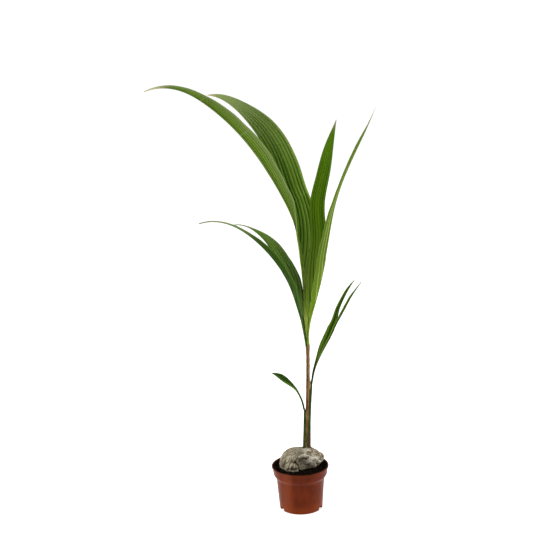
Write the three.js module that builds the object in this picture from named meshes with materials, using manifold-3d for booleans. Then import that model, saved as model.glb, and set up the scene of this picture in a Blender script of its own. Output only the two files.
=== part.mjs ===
// A young coconut palm in a nursery pot: the husk lies half sunk in the soil, one slim stem
// stands on it, and five leaves leave the stem in two ranks.
// Millimetres, +Z up, origin at the centre of the pot's flat underside. The front is the -Y side.

import * as THREE from 'three';
import { mergeVertices } from 'three/addons/utils/BufferGeometryUtils.js';
import Module from 'manifold-3d';

const wasm = await Module();
wasm.setup();

// Clearance between pieces that touch, flat to flat and round to round
const GAP = 0.3;
const ROUND_GAP = 0.45;

// Pot: a round nursery pot of 19 cm with a collar, a sloping ledge and a lip
const POT_HEIGHT = 146;
const POT_FACETS = 48;
const POT_WALL = 2.4;
const FOOT_RADIUS = 71.6;
const FOOT_BEVEL = 2;
const FLOOR_THICKNESS = 3;
const LEDGE_FOOT_Z = 104;
const LEDGE_FOOT_RADIUS = 80.2;
const COLLAR_FOOT_Z = 117.5;
const COLLAR_FOOT_RADIUS = 89.6;
const COLLAR_TOP_Z = 141;
const COLLAR_TOP_RADIUS = 92.3;
const LIP_RADIUS = 95;
const LIP_BEVEL = 0.8;

// Drain notches, cut through the corner of the foot
const NOTCH_AZIMUTHS = [-27, 90, 207];
const NOTCH_WIDTH = 21;
const NOTCH_DEPTH = 11;
const NOTCH_HEIGHT = 8;

// Soil: its level below the lip, the rings of its top and the waves over them
const SOIL_EDGE_DROP = 10;
const SOIL_MIDDLE_DROP = 7;
const SOIL_RING_SHARES = [0.93, 0.78, 0.6, 0.4];
const SOIL_WAVE = 1.5;
const SOIL_WAVE_REACH = 12;

// Coconut: a husk on its side, its long axis turned in plan, with a flap in front and an end knob
const HUSK_CENTRE = [5, 14, 142];
const HUSK_SEMI_AXES = [75, 48, 57.5];
const HUSK_TURN = 16;
const HUSK_TIP = -4;
const HUSK_FULLNESS = 2.3;
const HUSK_RIDGE = 0.03;
const HUSK_RIDGES = 3;
const HUSK_FACETS = 28;
const FLAP_CENTRE = [-27, -27, 142];
const FLAP_SEMI_AXES = [28, 20, 25];
const FLAP_TURN = -12;
const FLAP_FACETS = 16;
const KNOB_CENTRE = [67, 30, 160];
const KNOB_SEMI_AXES = [15, 14, 15];
const KNOB_FACETS = 12;
const ROUND_FULLNESS = 2;
const RINGS_PER_FACET = 0.64;

// Stem: its axis starts inside the husk, leans a little to the right and straightens
const STEM_FOOT = [23.5, 12, 185];
const STEM_LENGTH = 367;
const STEM_LEAN = [4, 2.6, 0.5];
const STEM_HEADING = [-42, -42, -42];
const STEM_HALF_WIDTH = [7.5, 6.6, 6.2, 5.3];
const STEM_HALF_DEPTH = [8.5, 7.5, 7.2, 7];
const STEM_STEPS = 12;
const STEM_FACETS = 16;

// Leaves: the midrib is walked from its foot by its lean from upright and its heading in plan,
// both in degrees at even stations. Each side has a width and a fold up from flat at even stations.
// A forked leaf goes on in a front lobe and a back lobe, walked on from the end of the midrib.
// A lobe that arches over is made in two pieces, parted at its bend.
const LEAF_1 = {
  foot: [18.3, 1, 344],
  front: 1,
  midrib: 177,
  lean: [7, 25, 43, 52, 66],
  heading: [190, 193, 196],
  width: [2, 3, 9, 13.5, 0.8],
  frontFold: [10, -28, -35],
  backFold: [40, 47, 55],
  bladeStart: 0.3,
};
const LEAF_2 = {
  foot: [48, 6, 441],
  front: -1,
  midrib: 180,
  lean: [11, 25.5, 30.5, 24],
  heading: [10, 13, 16],
  width: [3, 9, 21, 24],
  frontFold: [9, 35, 40],
  backFold: [70, 70, 70],
  bladeStart: 0.2,
  frontLobe: {
    length: 176,
    lean: [32, 28, 35, 39],
    heading: [14, 12, 10, 8],
    width: [27, 24, 16, 1.2],
    fold: [39, 36, 30],
  },
  backLobe: {
    length: 171,
    lean: [13, 29, 33, 43],
    heading: [18, 21, 24, 27],
    width: [17, 11, 8, 1.2],
    fold: [70, 70, 70],
  },
};
const LEAF_3 = {
  foot: [31.2, -4, 552],
  front: 1,
  midrib: 270,
  lean: [7, 14, 17.5, 32],
  heading: [195, 200, 204],
  width: [2.5, 8, 23.6, 44, 51],
  frontFold: [0, 8, 6],
  backFold: [90, 84, 79],
  bladeStart: 0.34,
  frontLobe: {
    length: 348,
    lean: [41.5, 52, 69, 98],
    heading: [206, 208, 210, 212],
    width: [43, 23, 11, 1.2],
    fold: [15, 21, 28],
    bend: 0.5,
  },
  backLobe: {
    length: 233,
    lean: [23, 37, 57.5, 98],
    heading: [196, 188, 180, 172],
    width: [45, 25, 6, 1.2],
    fold: [70, 66, 60],
  },
};
const LEAF_4 = {
  foot: [32.5, 5, 552],
  front: 1,
  midrib: 470,
  lean: [3.5, 0.5, 6.5, 26.5],
  heading: [180, 175, 168],
  width: [5, 10, 37, 64, 82],
  frontFold: [0, 0, 0, 6, 33],
  backFold: [80, 80, 72],
  bladeStart: 0.25,
  frontLobe: {
    length: 619,
    lean: [33, 46.5, 62.5, 114.5],
    heading: [170, 172, 174, 174],
    width: [90, 66, 36, 1.5],
    fold: [37, 42, 27],
    bend: 0.5,
  },
  backLobe: {
    length: 483,
    lean: [17.5, 33, 55, 88.5],
    heading: [160, 152, 145, 138],
    width: [90, 69, 31, 1.5],
    fold: [82, 70, 66],
    bend: 0.5,
  },
};
const LEAF_5 = {
  foot: [37, -3, 552],
  front: -1,
  midrib: 320,
  lean: [-3, 15.5, 15, 10.5],
  heading: [0, -6, -12],
  width: [3, 6, 35, 51, 58],
  frontFold: [15, 26, 22],
  backFold: [90, 90, 86],
  bladeStart: 0.28,
  frontLobe: {
    length: 484,
    lean: [12, 22.5, 27, 23],
    heading: [-15, -18, -20, -22],
    width: [59, 31, 28, 1.5],
    fold: [8, 9, 0],
  },
  backLobe: {
    length: 420,
    lean: [-5.5, 12.5, 7.5, 9],
    heading: [-5, 5, 10, 15],
    width: [52, 45, 34, 1.5],
    fold: [77, 72, 70],
  },
};

// Leaf thickness: a share of the length at the rib, less where the leaf is narrow, and a thin edge
const RIB_SHARE = 0.01;
const SLIM_SHARE = 0.4;
const THINNEST_RIB = 2;
const EDGE_THICKNESS = 1.6;

// Lobes stand clear of each other at the fork by a share of the rib, up to a share of their length
const FORK_CLEARANCE_SHARE = 0.9;
const FORK_CLOSES_AT = 0.2;

// Sheaths of the two low leaves, wrapped round one side of the stem up to where the leaf leaves it
const SHEATH_1 = { side: 180, top: 0.4, halfAngle: [80, 55], thickness: [6, 4.6] };
const SHEATH_2 = { side: 0, top: 0.65, halfAngle: [80, 50], thickness: [4.8, 5] };
const SHEATH_EDGE_SHARE = 0.3;
const SHEATH_STEPS = 9;

// Places across a leaf, for half blades, whole blades and sheaths, and steps along it
const ACROSS_LOBE = [0, 0.5, 1];
const ACROSS_BLADE = [-1, -0.5, 0, 0.5, 1];
const ACROSS_SHEATH = [-1, -2 / 3, -1 / 3, 0, 1 / 3, 2 / 3, 1];
const PETIOLE_STEPS = 6;
const BLADE_STEPS = 12;
const LOBE_STEPS = 16;
const BENT_LOBE_STEPS = 10;
const FINE_STEPS = 48;

// Finishes
const FINISHES = {
  pot: { color: 0x8a3f2a, roughness: 0.42 },
  soil: { color: 0x1d1713, roughness: 0.95 },
  husk: { color: 0x8d8270, roughness: 0.9 },
  stem: { color: 0x7a5a3c, roughness: 0.8 },
  petiole: { color: 0x6d8f2c, roughness: 0.5 },
  leaf: { color: 0x3f6a22, roughness: 0.5 },
  youngLeaf: { color: 0x5f8a2a, roughness: 0.5 },
};

const vector = (point) => new THREE.Vector3(...point);
const radians = THREE.MathUtils.degToRad;

// Reads a smooth curve through evenly spaced values, at a share of its length
function along(values, share) {
  const last = values.length - 1;
  const place = THREE.MathUtils.clamp(share, 0, 1) * last;
  const i = Math.min(Math.floor(place), last - 1);
  const u = place - i;
  const here = values[i];
  const next = values[i + 1];
  const before = i > 0 ? values[i - 1] : 2 * here - next;
  const after = i < last - 1 ? values[i + 2] : 2 * next - here;
  const slope = next - before;
  const bend = 2 * before - 5 * here + 4 * next - after;
  const twist = 3 * here - before - 3 * next + after;
  return 0.5 * (2 * here + slope * u + bend * u * u + twist * u * u * u);
}

// Direction of growth for a lean from upright and a heading in plan
function growth(lean, heading) {
  const flat = Math.sin(lean);
  return new THREE.Vector3(flat * Math.cos(heading), flat * Math.sin(heading), Math.cos(lean));
}

// Walks a path in even steps; each stop has its place, its sideways and its upper direction
function walk(start, length, leans, headings, steps) {
  const place = start.clone();
  const stops = [];
  for (let i = 0; i <= steps; i += 1) {
    const share = i / steps;
    const lean = radians(along(leans, share));
    const heading = radians(along(headings, share));
    const side = new THREE.Vector3(-Math.sin(heading), Math.cos(heading), 0);
    const upper = growth(lean + Math.PI / 2, heading).negate();
    stops.push({ share, place: place.clone(), side, upper });
    const middle = (i + 0.5) / steps;
    const step = growth(radians(along(leans, middle)), radians(along(headings, middle)));
    place.addScaledVector(step, length / steps);
  }
  return stops;
}

// Closed geometry from a list of points and triangles
function closedGeometry(points, triangles) {
  const geometry = new THREE.BufferGeometry();
  const flat = points.flatMap((point) => [point.x, point.y, point.z]);
  geometry.setAttribute('position', new THREE.Float32BufferAttribute(flat, 3));
  geometry.setIndex(triangles);
  geometry.computeVertexNormals();
  return geometry;
}

// A slab between two faces: each section has as many points on its upper face as on its lower face
function slab(sections) {
  const across = sections[0].upper.length;
  const ring = 2 * across;
  const points = sections.flatMap((section) => [...section.upper, ...section.lower.slice().reverse()]);
  const triangles = [];
  for (let row = 0; row < sections.length - 1; row += 1) {
    for (let i = 0; i < ring; i += 1) {
      const a = row * ring + i;
      const b = row * ring + ((i + 1) % ring);
      triangles.push(a, b, a + ring, b, b + ring, a + ring);
    }
  }
  const top = (sections.length - 1) * ring;
  for (let i = 0; i < across - 1; i += 1) {
    const j = ring - 1 - i;
    triangles.push(i, j, i + 1, i + 1, j, j - 1);
    triangles.push(top + i, top + i + 1, top + j, top + i + 1, top + j - 1, top + j);
  }
  return closedGeometry(points, triangles);
}

// Turns a slab the right way out where its sections were laid in the other hand
function facingOut(geometry) {
  const solid = solidOf(geometry);
  if (solid.volume() > 0) {
    return geometry;
  }
  const index = geometry.getIndex();
  for (let i = 0; i < index.count; i += 3) {
    const kept = index.getX(i + 1);
    index.setX(i + 1, index.getX(i + 2));
    index.setX(i + 2, kept);
  }
  geometry.computeVertexNormals();
  return geometry;
}

// Solid for cutting and joining
function solidOf(geometry) {
  const bare = geometry.clone();
  bare.deleteAttribute('normal');
  bare.deleteAttribute('uv');
  const merged = mergeVertices(bare);
  const vertProperties = new Float32Array(merged.getAttribute('position').array);
  const triVerts = new Uint32Array(merged.getIndex().array);
  return new wasm.Manifold(new wasm.Mesh({ numProp: 3, vertProperties, triVerts }));
}

// Geometry of a cut or joined solid
function geometryOf(solid) {
  const mesh = solid.getMesh();
  const geometry = new THREE.BufferGeometry();
  geometry.setAttribute('position', new THREE.BufferAttribute(mesh.vertProperties, 3));
  geometry.setIndex(new THREE.BufferAttribute(mesh.triVerts, 1));
  geometry.computeVertexNormals();
  return geometry;
}

const plant = new THREE.Group();

// Adds one named piece to the plant
function addPiece(name, geometry, finish) {
  const material = new THREE.MeshStandardMaterial({ ...finish, metalness: 0 });
  const mesh = new THREE.Mesh(geometry, material);
  mesh.name = name;
  plant.add(mesh);
}

// A profile turned about the upright axis
function turned(profile) {
  const points = profile.map(([radius, z]) => new THREE.Vector2(radius, z));
  return new THREE.LatheGeometry(points, POT_FACETS).rotateX(Math.PI / 2);
}

// Radius of the pot's inner wall at a height
function innerRadius(z) {
  const wall = (fromZ, fromRadius, toZ, toRadius) =>
    THREE.MathUtils.mapLinear(z, fromZ, toZ, fromRadius, toRadius) - POT_WALL;
  if (z < LEDGE_FOOT_Z) {
    return wall(0, FOOT_RADIUS, LEDGE_FOOT_Z, LEDGE_FOOT_RADIUS);
  }
  if (z < COLLAR_FOOT_Z) {
    return wall(LEDGE_FOOT_Z, LEDGE_FOOT_RADIUS, COLLAR_FOOT_Z, COLLAR_FOOT_RADIUS);
  }
  return wall(COLLAR_FOOT_Z, COLLAR_FOOT_RADIUS, COLLAR_TOP_Z, COLLAR_TOP_RADIUS);
}

// Blocks that cut the drain notches out of the foot
function notches(spare) {
  const depth = NOTCH_DEPTH + spare + FOOT_BEVEL;
  const height = 2 * (NOTCH_HEIGHT + spare);
  return NOTCH_AZIMUTHS.map((azimuth) => {
    const block = new THREE.BoxGeometry(depth, NOTCH_WIDTH + 2 * spare, height);
    block.translate(FOOT_RADIUS + FOOT_BEVEL - depth / 2, 0, 0);
    return solidOf(block.rotateZ(radians(azimuth)));
  });
}

function potGeometry() {
  const profile = [
    [0, 0],
    [FOOT_RADIUS - FOOT_BEVEL, 0],
    [FOOT_RADIUS, FOOT_BEVEL],
    [LEDGE_FOOT_RADIUS, LEDGE_FOOT_Z],
    [COLLAR_FOOT_RADIUS, COLLAR_FOOT_Z],
    [COLLAR_TOP_RADIUS, COLLAR_TOP_Z],
    [LIP_RADIUS, COLLAR_TOP_Z + LIP_BEVEL],
    [LIP_RADIUS, POT_HEIGHT - LIP_BEVEL],
    [LIP_RADIUS - LIP_BEVEL, POT_HEIGHT],
    [COLLAR_TOP_RADIUS, POT_HEIGHT],
    [innerRadius(COLLAR_TOP_Z), COLLAR_TOP_Z],
    [innerRadius(COLLAR_FOOT_Z), COLLAR_FOOT_Z],
    [innerRadius(LEDGE_FOOT_Z), LEDGE_FOOT_Z],
    [innerRadius(FLOOR_THICKNESS), FLOOR_THICKNESS],
    [0, FLOOR_THICKNESS],
  ];
  let pot = solidOf(turned(profile));
  for (const notch of notches(0)) {
    pot = pot.subtract(notch);
  }
  return geometryOf(pot);
}

// A ball stretched to semi-axes with shallow ridges along it, then turned, tipped and placed
function lump(semiAxes, centre, turn, tip, fullness, ridge, spare, facets) {
  const ball = new THREE.SphereGeometry(1, facets, Math.round(facets * RINGS_PER_FACET)).rotateZ(Math.PI / 2);
  const place = ball.getAttribute('position');
  for (let i = 0; i < place.count; i += 1) {
    const unit = new THREE.Vector3().fromBufferAttribute(place, i);
    const round = Math.atan2(unit.z, unit.y);
    const corners = unit.toArray().reduce((sum, part) => sum + Math.abs(part) ** fullness, 0);
    const ridges = 1 + ridge * Math.cos(HUSK_RIDGES * round + unit.x) * Math.hypot(unit.y, unit.z);
    const swell = ridges * corners ** (-1 / fullness);
    const outward = new THREE.Vector3(unit.x / semiAxes[0], unit.y / semiAxes[1], unit.z / semiAxes[2]);
    const point = unit.multiply(vector(semiAxes)).multiplyScalar(swell);
    point.addScaledVector(outward.normalize(), spare);
    place.setXYZ(i, point.x, point.y, point.z);
  }
  ball.rotateY(-radians(tip)).rotateZ(radians(turn)).translate(...centre);
  return solidOf(ball);
}

// The husk with its front flap and its end knob, grown by a spare skin where it cuts its neighbours
function huskSolid(spare) {
  const full = [HUSK_TURN, HUSK_TIP, HUSK_FULLNESS, HUSK_RIDGE];
  const body = lump(HUSK_SEMI_AXES, HUSK_CENTRE, ...full, spare, HUSK_FACETS);
  const flap = lump(FLAP_SEMI_AXES, FLAP_CENTRE, FLAP_TURN, 0, ROUND_FULLNESS, 0, spare, FLAP_FACETS);
  const knob = lump(KNOB_SEMI_AXES, KNOB_CENTRE, 0, 0, ROUND_FULLNESS, 0, spare, KNOB_FACETS);
  return body.add(flap).add(knob);
}

// Soil with an uneven top, hollowed for the husk and cut back at the notches
function soilGeometry(skin) {
  const level = POT_HEIGHT - SOIL_EDGE_DROP;
  const side = [FLOOR_THICKNESS + GAP, LEDGE_FOOT_Z, COLLAR_FOOT_Z, level];
  const profile = [[0, FLOOR_THICKNESS + GAP], ...side.map((z) => [innerRadius(z) - ROUND_GAP, z])];
  const rim = innerRadius(level);
  for (const share of SOIL_RING_SHARES) {
    profile.push([rim * share, POT_HEIGHT - SOIL_MIDDLE_DROP]);
  }
  profile.push([0, POT_HEIGHT - SOIL_MIDDLE_DROP]);
  const plug = turned(profile);
  const place = plug.getAttribute('position');
  for (let i = 0; i < place.count; i += 1) {
    const [x, y, z] = [place.getX(i), place.getY(i), place.getZ(i)];
    if (z > level + GAP) {
      place.setZ(i, z + SOIL_WAVE * Math.sin(x / SOIL_WAVE_REACH) * Math.cos(1 + y / SOIL_WAVE_REACH));
    }
  }
  let soil = solidOf(plug).subtract(skin);
  for (const notch of notches(GAP)) {
    soil = soil.subtract(notch);
  }
  return geometryOf(soil);
}

const stemStops = walk(vector(STEM_FOOT), STEM_LENGTH, STEM_LEAN, STEM_HEADING, STEM_STEPS);

// Point on the stem's oval, or a spare distance outside it, at a share of its length
function stemPoint(share, angle, spare) {
  const row = share * STEM_STEPS;
  const i = Math.min(Math.floor(row), STEM_STEPS - 1);
  const point = stemStops[i].place.clone().lerp(stemStops[i + 1].place, row - i);
  point.x += (along(STEM_HALF_WIDTH, share) + spare) * Math.cos(angle);
  point.y += (along(STEM_HALF_DEPTH, share) + spare) * Math.sin(angle);
  return point;
}

// The stem as a slab: its upper face is the back half of the oval, its lower face the front half
function stemGeometry(skin) {
  const half = STEM_FACETS / 2;
  const sections = stemStops.map(({ share }) => {
    const arc = (from) => Array.from({ length: half }, (unused, i) => {
      const angle = radians(from) + ((i + 0.5) / half) * Math.PI;
      return stemPoint(share, angle, 0);
    });
    return { upper: arc(0), lower: arc(180).reverse() };
  });
  return geometryOf(solidOf(facingOut(slab(sections))).subtract(skin));
}

// Thickness at a place across a leaf side, from the rib to the edge
function thickness(rib, width, u) {
  const slim = Math.min(rib, Math.max(THINNEST_RIB, width * SLIM_SHARE));
  return EDGE_THICKNESS + (slim - EDGE_THICKNESS) * (1 - Math.abs(u));
}

// The sideways and facing directions of one side of a leaf at a stop
function sideFrame(stop, front, fold) {
  const flat = stop.side.clone().multiplyScalar(front);
  const across = flat.clone().multiplyScalar(Math.cos(fold)).addScaledVector(stop.upper, Math.sin(fold));
  const facing = stop.upper.clone().multiplyScalar(Math.cos(fold)).addScaledVector(flat, -Math.sin(fold));
  return { across, facing };
}

// Section across a whole blade, from its back edge over the midrib to its front edge
function bladeSection(leaf, stop, rib) {
  const width = along(leaf.width, stop.share);
  const front = sideFrame(stop, leaf.front, radians(along(leaf.frontFold, stop.share)));
  const back = sideFrame(stop, -leaf.front, radians(along(leaf.backFold, stop.share)));
  const keel = front.facing.clone().add(back.facing).normalize();
  keel.divideScalar(keel.dot(front.facing));
  const upper = [];
  const lower = [];
  for (const u of ACROSS_BLADE) {
    const side = u < 0 ? back : front;
    const facing = u === 0 ? keel : side.facing;
    const point = stop.place.clone().addScaledVector(side.across, Math.abs(u) * width);
    const half = thickness(rib, width, u) / 2;
    upper.push(point.clone().addScaledVector(facing, half));
    lower.push(point.clone().addScaledVector(facing, -half));
  }
  return { upper, lower };
}

// Section across one lobe, from its inner edge to its outer edge
function lobeSection(lobe, front, forkWidth, forkFold, stop, rib) {
  const width = along([forkWidth, ...lobe.width], stop.share);
  const side = sideFrame(stop, front, radians(along([forkFold, ...lobe.fold], stop.share)));
  const inner = FORK_CLEARANCE_SHARE * rib * Math.max(0, 1 - stop.share / FORK_CLOSES_AT);
  const upper = [];
  const lower = [];
  for (const u of ACROSS_LOBE) {
    const reach = inner + u * (width - inner);
    const point = stop.place.clone().addScaledVector(side.across, reach);
    const half = thickness(rib, width, u) / 2;
    upper.push(point.clone().addScaledVector(side.facing, half));
    lower.push(point.clone().addScaledVector(side.facing, -half));
  }
  return { upper, lower };
}

// Stops of a path between two shares of it, set back from its ends by half a gap
function stretch(start, length, leans, headings, from, to, steps) {
  const fine = walk(start, length, leans, headings, FINE_STEPS);
  const setBack = GAP / 2 / length;
  return Array.from({ length: steps + 1 }, (unused, i) => {
    const share = THREE.MathUtils.mapLinear(i, 0, steps, from + setBack, to - setBack);
    const row = share * FINE_STEPS;
    const low = Math.min(Math.floor(row), FINE_STEPS - 1);
    const place = fine[low].place.clone().lerp(fine[low + 1].place, row - low);
    const side = fine[low].side.clone().lerp(fine[low + 1].side, row - low).normalize();
    const upper = fine[low].upper.clone().lerp(fine[low + 1].upper, row - low).normalize();
    return { share, place, side, upper };
  });
}

// Section of a sheath on the stem's oval, its upper face against the stem
function sheathSection(leaf, sheath, share) {
  const grown = share / sheath.top;
  const halfAngle = radians(along(sheath.halfAngle, grown));
  const full = along(sheath.thickness, grown);
  const upper = [];
  const lower = [];
  for (const u of ACROSS_SHEATH) {
    const angle = radians(sheath.side) + leaf.front * u * halfAngle;
    const bulge = SHEATH_EDGE_SHARE + (1 - SHEATH_EDGE_SHARE) * Math.sqrt(1 - u * u);
    upper.push(stemPoint(share, angle, ROUND_GAP));
    lower.push(stemPoint(share, angle, ROUND_GAP + full * bulge));
  }
  return { upper, lower };
}

// A section with the sheath's number of points, read off a blade section
function resampled(section) {
  const face = (points) => ACROSS_SHEATH.map((u) => {
    const row = ((u + 1) / 2) * (points.length - 1);
    const low = Math.min(Math.floor(row), points.length - 2);
    return points[low].clone().lerp(points[low + 1], row - low);
  });
  return { upper: face(section.upper), lower: face(section.lower) };
}

// Adds a leaf: its petiole, with the sheath where it has one, its blade and its two lobes
function addLeaf(name, leaf, sheath, skin, finish) {
  const foot = vector(leaf.foot);
  const rib = Math.max(THINNEST_RIB, RIB_SHARE * leaf.midrib);
  const path = [foot, leaf.midrib, leaf.lean, leaf.heading];
  const petioleStops = stretch(...path, 0, leaf.bladeStart, PETIOLE_STEPS);
  let petiole = petioleStops.map((stop) => bladeSection(leaf, stop, rib));
  if (sheath) {
    const wrap = Array.from({ length: SHEATH_STEPS + 1 }, (unused, i) =>
      sheathSection(leaf, sheath, (i / SHEATH_STEPS) * sheath.top));
    petiole = [...wrap, ...petiole.map(resampled)];
  }
  let petioleGeometry = facingOut(slab(petiole));
  if (sheath) {
    petioleGeometry = geometryOf(solidOf(petioleGeometry).subtract(skin));
  }
  addPiece(`${name}_petiole`, petioleGeometry, FINISHES.petiole);
  const bladeStops = stretch(...path, leaf.bladeStart, 1, BLADE_STEPS);
  const blade = bladeStops.map((stop) => bladeSection(leaf, stop, rib));
  addPiece(`${name}_blade`, facingOut(slab(blade)), finish);
  if (!leaf.frontLobe) {
    return;
  }
  const fork = walk(...path, FINE_STEPS).at(-1).place;
  const sides = [
    ['front', leaf.frontLobe, leaf.front, leaf.frontFold],
    ['back', leaf.backLobe, -leaf.front, leaf.backFold],
  ];
  for (const [label, lobe, front, folds] of sides) {
    const leans = [leaf.lean.at(-1), ...lobe.lean];
    const headings = [leaf.heading.at(-1), ...lobe.heading];
    const lobeRib = RIB_SHARE * lobe.length;
    const lobePiece = (part, from, to, steps) => {
      const stops = stretch(fork, lobe.length, leans, headings, from, to, steps);
      const sections = stops.map((stop) =>
        lobeSection(lobe, front, leaf.width.at(-1), folds.at(-1), stop, lobeRib));
      addPiece(`${name}_${label}_${part}`, facingOut(slab(sections)), finish);
    };
    if (lobe.bend) {
      lobePiece('lobe', 0, lobe.bend, BENT_LOBE_STEPS);
      lobePiece('tip', lobe.bend, 1, BENT_LOBE_STEPS);
    } else {
      lobePiece('lobe', 0, 1, LOBE_STEPS);
    }
  }
}

const huskSkin = huskSolid(GAP);
addPiece('pot', potGeometry(), FINISHES.pot);
addPiece('soil', soilGeometry(huskSkin), FINISHES.soil);
addPiece('coconut', geometryOf(huskSolid(0)), FINISHES.husk);
addPiece('stem', stemGeometry(huskSkin), FINISHES.stem);
addLeaf('leaf_1', LEAF_1, SHEATH_1, huskSkin, FINISHES.leaf);
addLeaf('leaf_2', LEAF_2, SHEATH_2, huskSkin, FINISHES.leaf);
addLeaf('leaf_3', LEAF_3, null, huskSkin, FINISHES.leaf);
addLeaf('leaf_4', LEAF_4, null, huskSkin, FINISHES.leaf);
addLeaf('leaf_5', LEAF_5, null, huskSkin, FINISHES.youngLeaf);

export default plant;
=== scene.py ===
"""Looks of a young coconut palm in a nursery pot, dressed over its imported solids.

Metres, +Z up, origin at the centre of the pot's flat underside. The front is the -Y side.
"""

import logging
import math
import random
from dataclasses import dataclass, field
from enum import Enum
from typing import Any, Mapping, Optional, Sequence, Union

import bpy
import numpy as np
from mathutils import Euler, Matrix, Vector, noise
from mathutils.bvhtree import BVHTree


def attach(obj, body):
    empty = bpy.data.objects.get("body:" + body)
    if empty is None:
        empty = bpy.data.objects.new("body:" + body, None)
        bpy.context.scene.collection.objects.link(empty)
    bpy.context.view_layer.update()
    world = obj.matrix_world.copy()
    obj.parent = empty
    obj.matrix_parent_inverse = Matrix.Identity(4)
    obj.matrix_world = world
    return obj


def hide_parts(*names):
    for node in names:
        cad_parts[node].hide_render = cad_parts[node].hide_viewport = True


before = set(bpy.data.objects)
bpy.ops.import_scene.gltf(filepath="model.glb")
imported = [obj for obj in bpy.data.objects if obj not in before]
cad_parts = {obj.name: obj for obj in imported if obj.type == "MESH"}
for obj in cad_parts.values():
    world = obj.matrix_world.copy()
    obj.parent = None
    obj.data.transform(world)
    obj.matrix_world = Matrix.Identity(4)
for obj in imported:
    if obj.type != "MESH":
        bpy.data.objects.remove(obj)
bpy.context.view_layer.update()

LOG = logging.getLogger("palm")
BODY = "root"

Colour = str
Pair = tuple[float, float]
Triple = tuple[float, float, float]
Series = tuple[float, ...]
Number = Union["Wire", float]
Array = np.ndarray
Lines = list[list[tuple[Array, float]]]
Ribs = list[tuple[int, list[int]]]
Settings = Optional[Mapping[Any, Any]]
Piece = bpy.types.Object


def tint(colour: Colour) -> Triple:
    """Linear light of a screen colour, which is six hexadecimal digits of red, green and blue."""
    parts = [int(colour[i:i + 2], 16) / 255 for i in (0, 2, 4)]
    return tuple(p / 12.92 if p <= 0.04045 else ((p + 0.055) / 1.055) ** 2.4 for p in parts)


def smooth(low: float, high: float, value: Any) -> Any:
    """Smooth step of a number or an array from 0 at low to 1 at high."""
    share = np.clip((value - low) / (high - low), 0.0, 1.0)
    return share * share * (3 - 2 * share)


def along(values: Sequence[float], share: float) -> float:
    """Reads a smooth curve through evenly spaced values.

    Args:
        values: the curve's values at even stations.
        share: the place along it, from 0 to 1.

    Returns:
        The curve's value there.
    """
    last = len(values) - 1
    place = min(max(share, 0.0), 1.0) * last
    i = min(int(place), last - 1)
    u = place - i
    here, following = values[i], values[i + 1]
    before = values[i - 1] if i > 0 else 2 * here - following
    after = values[i + 2] if i < last - 1 else 2 * following - here
    bend = 2 * before - 5 * here + 4 * following - after
    twist = 3 * here - before - 3 * following + after
    return 0.5 * (2 * here + (following - before) * u + bend * u * u + twist * u * u * u)


def bell(distance: float, reach: float) -> float:
    """One at no distance, fallen off to about a third at the reach."""
    return math.exp(-(distance / reach) ** 2)


def unit(vector: Array) -> Array:
    """Vector of length one."""
    return vector / np.linalg.norm(vector)


def rough(point: Sequence[float], scale: float, octaves: int = 3) -> float:
    """Fractal noise of about -1 to 1 at a point, with features one part in scale of a metre wide."""
    return noise.fractal(Vector(point) * scale, 0.6, 2.0, octaves)


class Wire:
    """A socket of a node sheet that takes part in Python arithmetic."""

    def __init__(self, sheet: "NodeSheet", socket: bpy.types.NodeSocket) -> None:
        """Keeps the socket and the sheet that it is on."""
        self.sheet = sheet
        self.socket = socket

    def math(self, operation: str, *values: Number) -> "Wire":
        """Adds a Math node to these values."""
        return self.sheet.wire("ShaderNodeMath", {"operation": operation}, dict(enumerate(values)))

    def __add__(self, other: Number) -> "Wire":
        """Sum."""
        return self.math("ADD", self, other)

    def __radd__(self, other: Number) -> "Wire":
        """Sum, with the number first."""
        return self.math("ADD", other, self)

    def __sub__(self, other: Number) -> "Wire":
        """Difference."""
        return self.math("SUBTRACT", self, other)

    def __rsub__(self, other: Number) -> "Wire":
        """Difference, with the number first."""
        return self.math("SUBTRACT", other, self)

    def __mul__(self, other: Number) -> "Wire":
        """Product."""
        return self.math("MULTIPLY", self, other)

    def __rmul__(self, other: Number) -> "Wire":
        """Product, with the number first."""
        return self.math("MULTIPLY", other, self)

    def __pow__(self, other: Number) -> "Wire":
        """Power."""
        return self.math("POWER", self, other)

    def __abs__(self) -> "Wire":
        """Size without its sign."""
        return self.math("ABSOLUTE", self)

    def rise(self, low: float, high: float) -> "Wire":
        """Smooth step from 0 at low to 1 at high."""
        span = {"Value": self, "From Min": low, "From Max": high}
        return self.sheet.wire("ShaderNodeMapRange", {"interpolation_type": "SMOOTHSTEP"}, span)

    def zigzag(self) -> "Wire":
        """Triangle wave of period one, 0 at whole numbers and 1 half way between them."""
        return 2 * self.math("PINGPONG", self, 0.5)


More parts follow.
